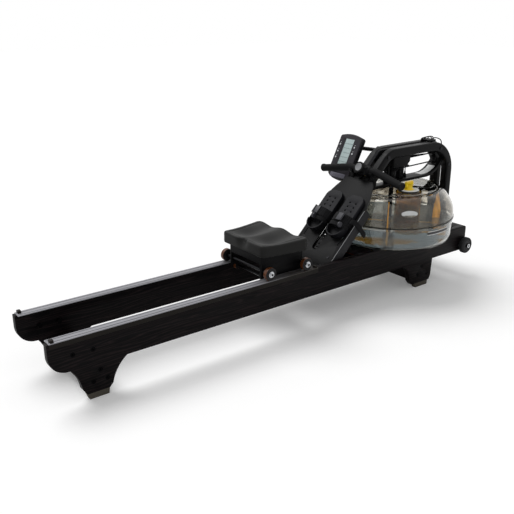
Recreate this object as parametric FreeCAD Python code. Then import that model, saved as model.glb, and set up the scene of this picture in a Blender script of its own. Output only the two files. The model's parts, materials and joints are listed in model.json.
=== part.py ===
import FreeCAD, Part
import math
import os

# Water rowing machine. Millimetres, +Z up, +X from the seat towards the tank, +Y to the rower's left.
# Every piece is drawn with X = 0 at the rear end of the rails and is moved to the centre when saved.

V = FreeCAD.Vector

# --- rails ---
rail_length = 2060.0
rail_inner = 127.0          # half of the gap between the rails
rail_thickness = 23.0
rail_top = 236.0
rail_bottom = 121.0
cap_start = 8.0
cap_end = 1116.0            # where the metal running caps stop
cap_thickness = 3.0
cap_lip = 14.0              # how far a cap overhangs inwards
cap_flange = 20.0           # how far it turns down outside
cap_skin = 1.5
stop_length = 12.0          # along the rail
stop_height = 9.0
pad_height = 22.0           # rubber under each leg
rear_leg = (118.0, 198.0)
front_leg = (1694.0, 1812.0)
bolt_r = 4.0
bolt_head_r = 8.6
bolt_head_h = 5.0
seat_gap = 0.3              # clearance between pieces that slide past each other
run_gap = 0.05              # radial clearance of a shaft in its bore
edge_round = 2.0

# --- transport wheels ---
wheel_r = 38.0
wheel_width = 24.0
wheel_x = rail_length - 12.0
wheel_z = 144.0
overall_length = wheel_x + wheel_r

# --- tank and impeller ---
tank_x = 1684.0
tank_r = 279.0
tank_foot_r = tank_r - 17.0
tank_wall = 5.0
tank_seam = 336.0
half_seam = 1.5             # half the gasket's thickness
tank_floor = rail_top + 0.4
tank_top = 456.0
tank_clear = 2.0            # left between the tank and the arch
ring_r = tank_r - 68.0
shoulder_in = 30.0          # how far the dome has drawn in at its shoulder
shoulder_drop = 28.0        # and how far that lies below the top
boss_r = 34.0
base_boss_r = 24.0
ring_width = 8.0
ring_height = 4.0
ring_out = 1.5              # how far the gasket stands out of the seam
boss_top = tank_top + 4.0
dial_offset = (-16.0, -115.0)  # level chamber and dial, from the tank's axis
chamber_r = 55.0
chamber_wall = 3.0
chamber_low = 280.0
stem_r = 8.0                # the dial's stem through plate and dome
plate_r = 45.0
plate_height = 8.0
knob_r = 24.0
knob_top = 500.0
shaft_r = 10.0
bearing_r = 16.0
paddle_r = tank_r - 57.0
paddle_width = 32.0
paddle_count = 4
paddle_phase = 40.0
paddle_base = 258.0
paddle_low = 248.0
paddle_tip = 432.0

# --- footboard ---
board_slope = 45.6
board_base = (1204.0, 228.0)
board_half = rail_inner - 0.5
board_skin = 5.0
board_low = -26.0
board_shoulder = 270.0
board_top = 400.0
flange_depth = 41.0
foot_y = 62.0
foot_half = 46.0

# --- arch ---
arch_top = 633.0
arm_depth = 40.0
arm_inner = 12.0            # half of the gap between the two arms
arm_outer = 50.0
arm_start = 250.0           # how far up the footboard the arms begin
arm_rear = 2026.0           # centre of the upright rear legs
arm_front_bend = 90.0
arm_rear_bend = 125.0
arm_round = 8.0

# --- drive ---
pulley_r = 26.0
pulley_flange = 3.0
pulley_width = 18.0
front_pulley = (1600.0, arch_top - 33.0)
rear_pulley = (1950.0, arch_top - 33.0)
belt_thickness = 1.6
belt_width = 15.0
drum_r = 32.0
drum_z = (arch_top - 77.0, arch_top - 57.0)
drum_flange = 2.0
spool_r = 20.0
spool_height = 28.0
cord_r = 3.0
cord_room = 6.0             # round the cord, where it passes the rear brace
cord_pulley = (2018.0, 520.0)
cord_pulley_r = 12.0
cord_z = cord_pulley[1] + cord_pulley_r + 0.3 + cord_r
cord_end = 262.0
pin_r = 4.0
pin_head_r = 7.5
pin_head_h = 3.0

# --- handle ---
handle_x = 1500.0
handle_z = 552.0
handle_half = 232.0
handle_centre = 80.0        # half of the straight middle
handle_end = (1483.0, 524.0)
bar_r = 11.0
grip_r = 16.0

# --- seat ---
roller_r = 25.0
roller_x = (878.0, 1060.0)
roller_y = (rail_inner + 5.0, rail_inner + 22.0)
axle_r = 6.0
guide_r = 16.0
guide_x = 912.0
guide_y = (rail_inner - 19.5, rail_inner - 4.0)
carriage_x = (866.0, 1074.0)
carriage_half = rail_inner - 22.0
carriage_lip = 30.0         # depth of the carriage over its open front and back
carriage_z = (228.0, 319.0)
carriage_wall = 4.0
lug = (13.0, 12.0)          # half width and depth of the lugs for the guide axle
pad_x = (853.0, 1057.0)
pad_half = (128.0, 155.0)   # rear and front
pad_z = (324.0, 368.0)
pad_corner = 20.0
pad_round = 8.0

# --- console ---
console_centre = (1554.0, 174.5, 575.0)
console_tilt = 26.0
console_width = 133.0
console_height = 215.0
console_depth = 32.0
front_depth = 9.0
lens_size = (52.0, 128.0)
lens_centre = (0.0, 19.5)
button_r = 5.0
button_rise = 1.8


def box(x, y, z):
    return Part.makeBox(x[1] - x[0], y[1] - y[0], z[1] - z[0], V(x[0], y[0], z[0]))


def rod(x, y, z, radius, length, axis="y"):
    """A round bar centred on the point for y, or rising from it for z and x."""
    direction = {"x": V(1, 0, 0), "y": V(0, 1, 0), "z": V(0, 0, 1)}[axis]
    start = V(x, y, z)
    if axis == "y":
        start = V(x, y - length / 2, z)
    return Part.makeCylinder(radius, length, start, direction)


def ring(x, y, z, inner, outer, length, axis="z"):
    solid = rod(x, y, z, outer, length, axis)
    hole = rod(x, y, z - 1 if axis == "z" else z, inner, length + 2, axis)
    return solid.cut(hole)


def wire(points):
    """A closed outline. A point is a place, or (middle of arc, end of arc)."""
    edges = []
    here = points[0]
    for step in list(points[1:]) + [points[0]]:
        if isinstance(step, tuple):
            middle, end = step
            edges.append(Part.Arc(here, middle, end).toShape())
        else:
            end = step
            if (end - here).Length > 1e-6:
                edges.append(Part.makeLine(here, end))
        here = end
    return Part.Wire(edges)


def slab(points, y):
    """Extrudes an X-Z outline between two Y values."""
    shift = V(0, y[0], 0)
    face = Part.Face(wire(points))
    face.translate(shift)
    return face.extrude(V(0, y[1] - y[0], 0))


def at(x, z):
    return V(x, 0, z)


def bowed(start, end, sag):
    """The middle of a shallow arc that leaves the chord by sag, to its left."""
    chord = end - start
    side = V(-chord.z, 0, chord.x).normalize()
    return start + chord * 0.5 + side * sag


def soften(solid, radius, chosen):
    edges = [edge for edge in solid.Edges if chosen(edge)]
    return solid.makeFillet(radius, edges)


def along(edge, axis):
    first, last = edge.Vertexes[0].Point, edge.Vertexes[-1].Point
    run = (last - first)
    return run.Length > 1e-6 and abs(run.dot(axis)) > 0.999 * run.Length


def lies_flat(edge, value):
    """True for an edge that lies wholly in the plane Y = value."""
    box_ = edge.BoundBox
    return abs(box_.YMin - value) < 1e-4 and abs(box_.YMax - value) < 1e-4


def mirrored(solid):
    return solid.mirror(V(0, 0, 0), V(0, 1, 0))


def save(name, *solids):
    shape = solids[0] if len(solids) == 1 else Part.makeCompound(list(solids))
    shape = shape.copy()
    shape.translate(V(-overall_length / 2, 0, 0))
    shape.exportStep("parts/" + name + ".step")
    count = len(shape.Solids)
    state = "ok" if shape.isValid() and all(s.isClosed() for s in shape.Solids) else "BAD"
    print(name, count, round(shape.Volume / 1000.0, 1), "cm3", state)


# ---------------------------------------------------------------- frame

rear_bolts = [(81.0, 178.0), (150.0, 176.0), (169.0, 98.0), (192.0, 61.0), (142.0, 61.0)]
front_bolts = [(1754.0, 98.0), (1730.0, 61.0), (1792.0, 55.0)]
nut_bolts = rear_bolts[:2]          # these two end in a nut inside the rail
beam_height = (30.0, 112.0)
rear_beam = (128.0, 206.0)
front_beam = (1716.0, 1806.0)
beam_bolt_depth = 30.0


nose = 62.0                 # height and depth of the rounded rear end
flare = 6.0                 # bow of the curves that lead into the legs
rail_corner = 12.0


def rail_outline():
    foot = pad_height
    corner = rail_corner
    rear_left = at(rear_leg[0] - 14, foot + 22)
    rear_right = at(rear_leg[1] + 13, foot + 14)
    front_left = at(front_leg[0] - 18, foot + 22)
    front_right = at(front_leg[1] + 10, foot + 18)
    return [
        at(0, rail_top - cap_thickness),
        at(0, rail_bottom + nose + 5),
        (at(nose * 0.28, rail_bottom + nose * 0.36), at(nose, rail_bottom + 2)),
        at(nose + 8, rail_bottom + 2),
        (bowed(at(nose + 8, rail_bottom + 2), rear_left, flare), rear_left),
        at(rear_leg[0], foot),
        at(rear_leg[1], foot),
        rear_right,
        (bowed(rear_right, at(rear_leg[1] + 70, rail_bottom), flare * 1.6), at(rear_leg[1] + 70, rail_bottom)),
        at(front_leg[0] - 56, rail_bottom),
        (bowed(at(front_leg[0] - 56, rail_bottom), front_left, flare * 1.6), front_left),
        at(front_leg[0], foot),
        at(front_leg[1], foot),
        front_right,
        at(front_leg[1] + 16, rail_bottom),
        at(rail_length, rail_bottom),
        at(rail_length, rail_top - corner),
        (at(rail_length - corner * 0.3, rail_top - corner * 0.3), at(rail_length - corner, rail_top)),
        at(cap_end, rail_top),
        at(cap_end, rail_top - cap_thickness),
    ]


def bolt_places():
    return rear_bolts + front_bolts


def rail():
    """The right-hand rail with its two legs cut from the same board."""
    outer = -rail_inner - rail_thickness
    board = slab(rail_outline(), (outer, -rail_inner))
    for x, z in bolt_places():
        board = board.cut(rod(x, outer + rail_thickness / 2, z, bolt_r + 0.2, rail_thickness + 2))
        board = board.cut(rod(x, outer, z, bolt_head_r + 0.3, 2 * (bolt_head_h + 0.8)))
    board = board.cut(rod(wheel_x, outer + rail_thickness / 2, wheel_z, bolt_r + 0.2, rail_thickness + 2))
    return board


def rail_cap():
    """Flat running strip on top of the rail, with a lip that overhangs inwards."""
    outer = -rail_inner - rail_thickness
    return box((cap_start, cap_end - seat_gap), (outer - cap_skin, -rail_inner + cap_lip),
               (rail_top - cap_thickness, rail_top))


def rail_trim():
    """Dark strip down the outside of the rail under the cap, and a stop for the rollers at each end."""
    outer = -rail_inner - rail_thickness
    strip = box((cap_start, cap_end - seat_gap), (outer - cap_skin, outer),
                (rail_top - cap_flange, rail_top - cap_thickness))
    across = (-roller_y[1], -roller_y[0])
    up = (rail_top, rail_top + stop_height)
    rear = box((cap_start + 6, cap_start + 6 + stop_length), across, up)
    front = box((cap_end - 4 - stop_length, cap_end - 4), across, up)
    return [strip, rear, front]


def beam(x):
    solid = box(x, (-rail_inner, rail_inner), beam_height)
    solid = soften(solid, 4.0, lambda e: along(e, V(0, 1, 0)))
    for bolt_x, z in bolt_places():
        if x[0] < bolt_x < x[1] and z < beam_height[1]:
            for side in (-1, 1):
                hole = rod(bolt_x, side * rail_inner, z, bolt_r + 0.2, 2 * (beam_bolt_depth + 2))
                solid = solid.cut(hole)
    return solid


def frame_bolt(x, z, nut):
    outer = -rail_inner - rail_thickness
    head = rod(x, outer + bolt_head_h / 2 + 0.8, z, bolt_head_r, bolt_head_h)
    shank_end = -rail_inner + (6.0 if nut else beam_bolt_depth)
    shank = rod(x, (outer + 1 + shank_end) / 2, z, bolt_r, shank_end - outer - 1)
    solid = head.fuse(shank)
    if nut:
        solid = solid.fuse(rod(x, -rail_inner + 3.2, z, bolt_head_r, 5.8))
    return solid.cut(rod(x, outer, z, 3.0, 2 * 3.6))


def foot_pad(leg):
    """Rubber block that narrows towards the floor."""
    inset = 1.0
    points = [at(leg[0] + 8, 0), at(leg[1] - 3, 0), at(leg[1], pad_height), at(leg[0], pad_height)]
    return slab(points, (-rail_inner - rail_thickness + inset, -rail_inner - inset))


deck_boards = ((1340.0, 1470.0), (1830.0, 1930.0))
deck_thickness = 24.0
arch_foot_x = (arm_rear - 32.0, arm_rear + 26.0)
arch_foot_low = 170.0


def tank_deck():
    boards = []
    for x in deck_boards:
        board = box(x, (-rail_inner, rail_inner), (rail_top - deck_thickness, rail_top))
        boards.append(soften(board, edge_round, lambda e: along(e, V(0, 1, 0))))
    return boards


def arch_foot():
    """Cross board that the two upright legs of the arch stand on."""
    board = box(arch_foot_x, (-rail_inner, rail_inner), (arch_foot_low, rail_top))
    return soften(board, edge_round, lambda e: along(e, V(0, 1, 0)))


# ---------------------------------------------------------------- footboard

def on_board(solid):
    """Moves a solid drawn with X up the slope and Z out of the board to its place."""
    placed = solid.copy()
    placed.rotate(V(0, 0, 0), V(0, 1, 0), -board_slope)
    placed.translate(V(board_base[0], 0, board_base[1]))
    return placed


def board_point(s, n):
    a = math.radians(board_slope)
    x = board_base[0] + s * math.cos(a) - n * math.sin(a)
    return V(x, 0, board_base[1] + s * math.sin(a) + n * math.cos(a))


def plate(points, z):
    face = Part.Face(wire(points))
    face.translate(V(0, 0, z[0]))
    return face.extrude(V(0, 0, z[1] - z[0]))


def slot(s, y, half, z):
    height = z[1] - z[0]
    ends = [rod(middle, y, z[0], half, height, "z") for middle in (s[0] + half, s[1] - half)]
    return box((s[0] + half, s[1] - half), (y - half, y + half), z).fuse(ends)


board_slot = (30.0, 165.0, 18.0)
slide_slot = (78.0, 132.0, 2.5, 103.0)


board_narrow = 75.0         # half width at the top edge
board_swell = (68.0, 18.5)  # a point on each round side: up from the shoulder, and in from the edge


def footboard():
    narrow = board_narrow
    shoulder, tip = V(board_shoulder, -board_half, 0), V(board_top - 12, -narrow - 8, 0)
    middle = shoulder + V(board_swell[0], board_swell[1], 0)
    skin = plate([
        V(board_low, -board_half, 0), shoulder, (middle, tip),
        V(board_top, -narrow + 4, 0), V(board_top, narrow - 4, 0), V(tip.x, -tip.y, 0),
        (V(middle.x, -middle.y, 0), V(board_shoulder, board_half, 0)), V(board_low, board_half, 0),
    ], (-board_skin, 0))
    skin = skin.cut(slot(board_slot[:2], 0, board_slot[2], (-board_skin - 1, 1)))
    for side in (-1, 1):
        flange = box((board_low, board_shoulder), (board_half - board_skin, board_half),
                     (-flange_depth, -board_skin))
        if side < 0:
            flange = mirrored(flange)
        skin = skin.fuse(flange)
        skin = skin.cut(slot(slide_slot[:2], side * slide_slot[3], slide_slot[2], (-board_skin - 1, 1)))
    skin = skin.removeSplitter()
    skin = soften(skin, 2.0, lambda e: along(e, V(1, 0, 0)) and abs(abs(e.Vertexes[0].Y) - board_half) < 1e-3
                  and abs(e.Vertexes[0].Z) < 1e-3)
    return on_board(skin)


sole = (150.0, 312.0)       # distances up the board
sole_height = (6.0, 18.0)   # lugs and sole, out from the board
sole_hole = (234.0, 20.0, 17.0, 4.0)    # first row, pitch, half spacing, radius
hole_rows = 3
hole_depth = 7.0
sole_corner = 30.0
heel_height = 30.0
heel_wall = 5.0
strap_s = (170.0, 208.0)
strap_rise = 38.0
strap_thickness = 3.0
strap_span = foot_half + 1.0            # half of the strap's clear width


def foot_plate(side):
    """Sliding shoe: a sole with two columns of holes, a heel cup and a lug each side for the strap."""
    y = side * foot_y
    r = sole_corner
    corner = r * (1 - math.sqrt(0.5))
    s0, s1 = sole
    low, high = y - foot_half, y + foot_half
    pad = plate([
        V(s0, low, 0), V(s1 - r, low, 0), (V(s1 - corner, low + corner, 0), V(s1, low + r, 0)),
        V(s1, high - r, 0), (V(s1 - corner, high - corner, 0), V(s1 - r, high, 0)), V(s0, high, 0),
    ], (seat_gap, sole_height[1]))
    heel = rod(s0, y, seat_gap, foot_half, heel_height, "z")
    heel = heel.cut(rod(s0, y, sole_height[0], foot_half - heel_wall, heel_height, "z"))
    heel = heel.common(box((s0 - foot_half - 1, s0), (low - 1, high + 1), (0, heel_height + 1)))
    lugs = box(strap_s, (y - strap_span - strap_thickness - 1, y + strap_span + strap_thickness + 1),
               (seat_gap, sole_height[0]))
    solid = pad.fuse([heel, lugs]).removeSplitter()
    first, pitch, spread, radius = sole_hole
    for row in range(hole_rows):
        for column in (-1, 1):
            place = (first + row * pitch, y + column * spread, sole_height[1] - hole_depth)
            hole = rod(*place, radius, hole_depth + 2, "z")
            solid = solid.cut(hole)
    return on_board(solid)


def strap(side):
    """Webbing over the foot: upright beside the sole, then a low arch, both ends on the plate's lugs."""
    y = side * foot_y
    low, leg = sole_height[0], sole_height[1] + 2.0
    outer, inner = strap_span + strap_thickness, strap_span
    top = low + strap_rise
    outline = [
        V(0, y - outer, low), V(0, y - outer, leg), (V(0, y, top + strap_thickness), V(0, y + outer, leg)),
        V(0, y + outer, low), V(0, y + inner, low), V(0, y + inner, leg),
        (V(0, y, top), V(0, y - inner, leg)), V(0, y - inner, low),
    ]
    face = Part.Face(wire(outline))
    face.translate(V(strap_s[0], 0, 0))
    return on_board(face.extrude(V(strap_s[1] - strap_s[0], 0, 0)))


buckle_reach = (4.0, 26.0)      # from the pin towards the outside and the middle of the foot
buckle_side = 22.0
buckle_thickness = 3.0
barrel_r = 3.6


def buckle(side):
    """Cam lever that lies on the strap and turns on a pin along the slope."""
    y = side * (foot_y + buckle_side)
    n = sole_height[0] + strap_rise + strap_thickness + seat_gap
    outside, inside = y + side * buckle_reach[0], y - side * buckle_reach[1]
    s = (strap_s[0] + 2, strap_s[1] - 2)
    lever = box(s, (min(outside, inside), max(outside, inside)), (n, n + buckle_thickness))
    barrel = rod(s[0], y, n + barrel_r, barrel_r, s[1] - s[0], "x")
    return on_board(lever.fuse(barrel).removeSplitter())


# ---------------------------------------------------------------- arch

def arm_path():
    """Centre line of an arm: up the back of the footboard, along the top and down at the rear."""
    a = math.radians(board_slope)
    start = board_point(arm_start, -board_skin - arm_depth / 2)
    top = arch_top - arm_depth / 2
    corner_x = start.x + (top - start.z) / math.tan(a)
    return start, corner_x, top, a


def arm_blank(y):
    """The arm's side outline with its round bends, between two Y values."""
    start, corner_x, top, a = arm_path()
    h = arm_depth / 2
    u = V(math.cos(a), 0, math.sin(a))
    n = V(-math.sin(a), 0, math.cos(a))
    tangent = arm_front_bend * math.tan(a / 2)
    before = V(corner_x, 0, top) - u * tangent
    after = V(corner_x + tangent, 0, top)
    centre = V(after.x, 0, top - arm_front_bend)
    mid_dir = V(-math.sin(a / 2), 0, math.cos(a / 2))
    rear_centre = V(arm_rear - arm_rear_bend, 0, top - arm_rear_bend)
    diag = V(math.sqrt(0.5), 0, math.sqrt(0.5))
    points = [
        start + n * h, before + n * h,
        (centre + mid_dir * (arm_front_bend + h), after + V(0, 0, h)),
        V(rear_centre.x, 0, top + h),
        (rear_centre + diag * (arm_rear_bend + h), V(arm_rear + h, 0, rear_centre.z)),
        V(arm_rear + h, 0, rail_top), V(arm_rear - h, 0, rail_top),
        V(arm_rear - h, 0, rear_centre.z),
        (rear_centre + diag * (arm_rear_bend - h), V(rear_centre.x, 0, top - h)),
        after - V(0, 0, h),
        (centre + mid_dir * (arm_front_bend - h), before - n * h),
        start - n * h,
    ]
    return slab(points, y)


def tank_room():
    """The tank's upper outside with a clearance all round, for what passes close to it."""
    side = dome_side(tank_clear, tank_seam)
    high = boss_top + tank_clear
    return turned([at(0, tank_seam)] + side + [at(ring_r + tank_clear, high), at(0, high)], tank_x, 0)


def arm(y):
    """One arm, softened along its edges and cut back where it passes the tank."""
    solid = arm_blank(y)
    long_edge = arm_depth + 1
    solid = soften(solid, arm_round, lambda e: (lies_flat(e, y[0]) or lies_flat(e, y[1])) and e.Length > long_edge)
    solid = solid.cut(tank_room())
    for x, z in pin_places():
        solid = solid.cut(rod(x, (y[0] + y[1]) / 2, z, pin_r, y[1] - y[0] + 2))
    return solid


def pin_places():
    cord_x = cord_pulley[0] + cord_pulley_r + seat_gap + cord_r
    return [front_pulley, rear_pulley, cord_pulley, (cord_x, cord_end - pin_r)]


def arch_pin(x, z):
    """Pin across both arms with a low head at each end."""
    pin = rod(x, 0, z, pin_r, 2 * arm_outer)
    middle = arm_outer + pin_head_h / 2
    heads = [rod(x, side * middle, z, pin_head_r, pin_head_h) for side in (-1, 1)]
    return pin.fuse(heads)


rest_y = (arm_outer, arm_outer + 18.0)
rest_wall = 5.7
rest_stem = (-8.0, 12.0)    # either side of the bar, along X
rest_depth = 70.0           # from the bar down to the end of the stem
rest_cut = 3.0              # the cup ends this far below the bar's middle


def handle_rest():
    """A cradle ear on the outside of each arm; the bar of the handle lies in it."""
    inner = grip_r + seat_gap
    outer = inner + rest_wall
    cup = ring(handle_x, (rest_y[0] + rest_y[1]) / 2, handle_z, inner, outer, rest_y[1] - rest_y[0], "y")
    far = 2 * outer
    keep = box((handle_x - far, handle_x + far), (rest_y[0] - 1, rest_y[1] + 1),
               (handle_z - far, handle_z - rest_cut))
    cup = cup.common(keep)
    stem = box((handle_x + rest_stem[0], handle_x + rest_stem[1]), rest_y,
               (handle_z - rest_depth, handle_z - inner - 1.7))
    ear = cup.fuse(stem).removeSplitter()
    return [ear, mirrored(ear)]


cover_x = (1642.0, 1750.0)
cover_low = 546.0
cover_half = 43.0
cover_wall = 2.5
cover_foot = 4.0
post_half = 14.0
post_x = (1716.0, 1746.0)
front_post_depth = 10.0


def drum_housing():
    """Cover over the belt drum, open below and towards the rear, with the two posts that carry it."""
    first, last = cover_x
    high = arch_top - arm_depth
    slope = 22.0
    outline = [at(first + 14, high), at(first, high - 2), at(first, cover_low + 10), at(first + 12, cover_low),
               at(last - slope, cover_low), at(last, cover_low + slope), at(last, high)]
    cover = slab(outline, (-cover_half, cover_half))
    cover = soften(cover, 6.0, lambda e: along(e, V(0, 0, 1)) and e.Vertexes[0].X < first + 8)
    room = cover_half - cover_wall
    hollow = box((first + 3, last + 8), (-room, room), (cover_low - 5, high - 5))
    top = cover_low + cover_foot
    post = box(post_x, (-post_half, post_half), (brace_z[1], top))
    post_top = box(post_x, (-cover_half, cover_half), (cover_low, top))
    front_post = box((first + 0.5, first + front_post_depth), (-post_half, post_half),
                     (front_brace_z[1], top + 2))
    return cover.cut(hollow).fuse([post, post_top, front_post]).removeSplitter()


brace_z = (474.0, 486.0)
front_brace_z = (boss_top, 474.0)
front_brace_x = 1480.0
front_brace_half = 22.0
rear_brace_half = 32.0
rear_brace_hub = 26.0
brace_bend_x = 1878.0
brace_bend_r = 130.0
brace_turn = math.radians(62.0)


def tank_brace_front():
    """Flat bar from the back of the arms to a ring round the shaft."""
    bar = box((front_brace_x, tank_x), (-front_brace_half, front_brace_half), front_brace_z)
    hub = rod(tank_x, 0, front_brace_z[0], boss_r, front_brace_z[1] - front_brace_z[0], "z")
    solid = bar.fuse(hub).cut(rod(tank_x, 0, front_brace_z[0] - 1, shaft_r + 2, 20, "z"))
    return solid.cut(arm_blank((-arm_outer - 10, arm_outer + 10)))


def tank_brace_rear():
    """Strap from the shaft ring back along the tank and up to the rear legs."""
    low, high = brace_z
    thickness = high - low
    bend_x, bend_r, turn = brace_bend_x, brace_bend_r, brace_turn
    end_x = arm_rear - arm_depth / 2
    centre = at(bend_x, low + thickness / 2 + bend_r)
    def on_arc(radius, angle):
        return centre + V(radius * math.sin(angle), 0, -radius * math.cos(angle))
    outer, inner = bend_r + thickness / 2, bend_r - thickness / 2
    points = [
        at(tank_x + 6, low), at(bend_x, low), (on_arc(outer, turn / 2), on_arc(outer, turn)),
        at(end_x, on_arc(outer, turn).z + 4), at(end_x, on_arc(outer, turn).z + 30),
        on_arc(inner, turn), (on_arc(inner, turn / 2), at(bend_x, high)), at(tank_x + 6, high),
    ]
    strap_ = slab(points, (-rear_brace_half, rear_brace_half))
    strap_ = strap_.fuse(rod(tank_x, 0, low, rear_brace_hub, thickness, "z"))
    strap_ = strap_.cut(rod(tank_x, 0, low - 1, shaft_r + 2, thickness + 2, "z"))
    reach = cord_r + cord_room
    cord_slot = box((rear_pulley[0] - 20, end_x + 1), (-reach, reach), (cord_z - 16, cord_z + 16))
    return strap_.cut([cord_slot, arm_blank((-arm_outer - 10, arm_outer + 10))]).removeSplitter()


# ---------------------------------------------------------------- tank

def turned(points, x, y):
    """Revolves an outline of radius and height about a vertical axis."""
    face = Part.Face(wire(points))
    solid = face.revolve(V(0, 0, 0), V(0, 0, 1), 360)
    solid.translate(V(x, y, 0))
    return solid


def dome_side(grow, low):
    """The dome's outside from its rim to the edge of the flat top, moved outwards by grow."""
    rim = at(tank_r + grow, low)
    shoulder = at(tank_r - shoulder_in + grow, tank_top - shoulder_drop + grow)
    crown = at(ring_r + 3 + grow, tank_top - 3 + grow)
    return [rim, (bowed(rim, shoulder, -9.5), shoulder), (bowed(shoulder, crown, -5.0), crown)]


def base_side(grow):
    """The base's side from its lower corner to the belly, moved outwards by grow."""
    low = at(tank_r - 3.5 + grow, tank_floor + 26)
    belly = at(tank_r - 0.5 + grow, tank_seam - 15.5)
    return low, belly, bowed(low, belly, -0.6)


def tank_base():
    """Lower shell: flat floor, a round corner, a nearly upright side and a boss for the lower bearing."""
    w = tank_wall
    top = tank_seam - half_seam
    low, belly, middle = base_side(0)
    low_in, belly_in, middle_in = base_side(-w)
    foot, foot_in = at(tank_foot_r, tank_floor), at(tank_foot_r - 2, tank_floor + w)
    lift = tank_floor + w
    return turned([
        at(0, tank_floor), foot, (bowed(foot, low, -4.5), low), (middle, belly), at(tank_r, top),
        at(tank_r - w, top), belly_in, (middle_in, low_in), (bowed(low_in, foot_in, 3.5), foot_in),
        at(base_boss_r, lift), at(base_boss_r, paddle_base - 4), at(bearing_r, paddle_base - 4),
        at(bearing_r, lift), at(0, lift),
    ], tank_x, 0)


def tank_dome():
    """Upper shell with a flat top, the shaft boss and the hole for the dial's stem."""
    w = tank_wall
    low = tank_seam + half_seam
    rim, (outer_bow, shoulder), (crown_bow, crown) = dome_side(0, low)
    rim_in, (inner_bow, shoulder_inner), (crown_bow_in, crown_in) = dome_side(-w, low)
    shell = turned([
        rim, (outer_bow, shoulder), (crown_bow, crown),
        at(ring_r, tank_top), at(boss_r, tank_top), at(boss_r, boss_top), at(bearing_r, boss_top),
        at(bearing_r, tank_top - w), at(ring_r - w, tank_top - w), crown_in,
        (crown_bow_in, shoulder_inner), (inner_bow, rim_in),
    ], tank_x, 0)
    x, y = tank_x + dial_offset[0], dial_offset[1]
    return shell.cut(rod(x, y, tank_top - 10, stem_r + seat_gap, 20, "z"))


def tank_seals():
    gasket = ring(tank_x, 0, tank_seam - half_seam, tank_r - tank_wall, tank_r + ring_out, 2 * half_seam)
    top_ring = ring(tank_x, 0, tank_top, ring_r - ring_width, ring_r, ring_height)
    return [gasket, top_ring]


def level_chamber():
    x, y = tank_x + dial_offset[0], dial_offset[1]
    return ring(x, y, chamber_low, chamber_r - chamber_wall, chamber_r, tank_top - tank_wall - chamber_low)


def level_plate():
    x, y = tank_x + dial_offset[0], dial_offset[1]
    disc = rod(x, y, tank_top, plate_r, plate_height, "z")
    disc = soften(disc, 2.5, lambda e: abs(e.BoundBox.ZMin - tank_top - plate_height) < 1e-4)
    return disc.cut(rod(x, y, tank_top - 1, stem_r + run_gap, plate_height + 4, "z"))


def level_dial():
    """Selector knob: waisted body, a flared skirt and a grip bar across the top."""
    x, y = tank_x + dial_offset[0], dial_offset[1]
    low = tank_top + plate_height + seat_gap
    body = turned([at(0, low), at(knob_r, low), (at(knob_r * 0.72, low + 5), at(knob_r * 0.62, low + 14)),
                   (at(knob_r * 0.66, low + 20), at(knob_r * 0.8, low + 25)), at(knob_r * 0.8, knob_top - 6),
                   at(0, knob_top - 6)], x, y)
    grip = box((x - knob_r + 1, x + knob_r - 1), (y - 6, y + 6), (low + 12, knob_top))
    grip = soften(grip, 4.0, lambda e: along(e, V(0, 0, 1)))
    stem = rod(x, y, tank_top - 14, stem_r, low + 1 - tank_top + 14, "z")
    return body.fuse([grip, stem]).removeSplitter()


def bearing(z, height):
    return ring(tank_x, 0, z, shaft_r + run_gap, bearing_r - 0.05, height)


shaft_top = drum_z[1] + 8.0


def impeller_shaft():
    shaft = rod(tank_x, 0, tank_floor + tank_wall + 0.5, shaft_r, shaft_top - tank_floor - tank_wall - 0.5, "z")
    return soften(shaft, 1.0, lambda e: abs(e.BoundBox.ZMin - shaft_top) < 1e-4)


def impeller_paddles():
    """Hub, low arms and an upright pointed blade at the end of each."""
    parts = []
    hub = ring(tank_x, 0, paddle_base - 2, shaft_r + 0.02, shaft_r + 10, 18.0)
    tip = paddle_tip
    inner = paddle_r - paddle_width
    for index in range(paddle_count):
        bar = box((tank_x + shaft_r + 6, tank_x + paddle_r - 2), (-4, 4), (paddle_base, paddle_base + 8))
        blade = slab([at(tank_x + inner, paddle_low), at(tank_x + paddle_r, paddle_low),
                      at(tank_x + paddle_r, tip - 70), at(tank_x + inner + paddle_width * 0.62, tip),
                      at(tank_x + inner + paddle_width * 0.38, tip), at(tank_x + inner, tip - 70)], (-2, 2))
        piece = bar.fuse(blade)
        piece.rotate(V(tank_x, 0, 0), V(0, 0, 1), 360.0 / paddle_count * index + paddle_phase)
        parts.append(piece)
    return hub.fuse(parts).removeSplitter()


# ---------------------------------------------------------------- drive

def belt_pulley(place):
    x, z = place
    half = pulley_width / 2
    solid = rod(x, 0, z, pulley_r, pulley_width)
    for side in (-1, 1):
        solid = solid.fuse(rod(x, side * (half - 0.6), z, pulley_r + pulley_flange, 1.2))
    return solid.cut(rod(x, 0, z, pin_r + run_gap, pulley_width + 2)).removeSplitter()


def bungee_pulley():
    x, z = cord_pulley
    half = 5.0
    outline = [at(pin_r + run_gap, -half), at(cord_pulley_r + 2, -half), at(cord_pulley_r + 2, -half + 1),
               (at(cord_pulley_r - 0.2, 0), at(cord_pulley_r + 2, half - 1)), at(cord_pulley_r + 2, half),
               at(pin_r + run_gap, half)]
    face = Part.Face(wire(outline))
    solid = face.revolve(V(0, 0, 0), V(0, 0, 1), 360)
    solid.rotate(V(0, 0, 0), V(1, 0, 0), 90)
    solid.translate(V(x, 0, z))
    return solid


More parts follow.
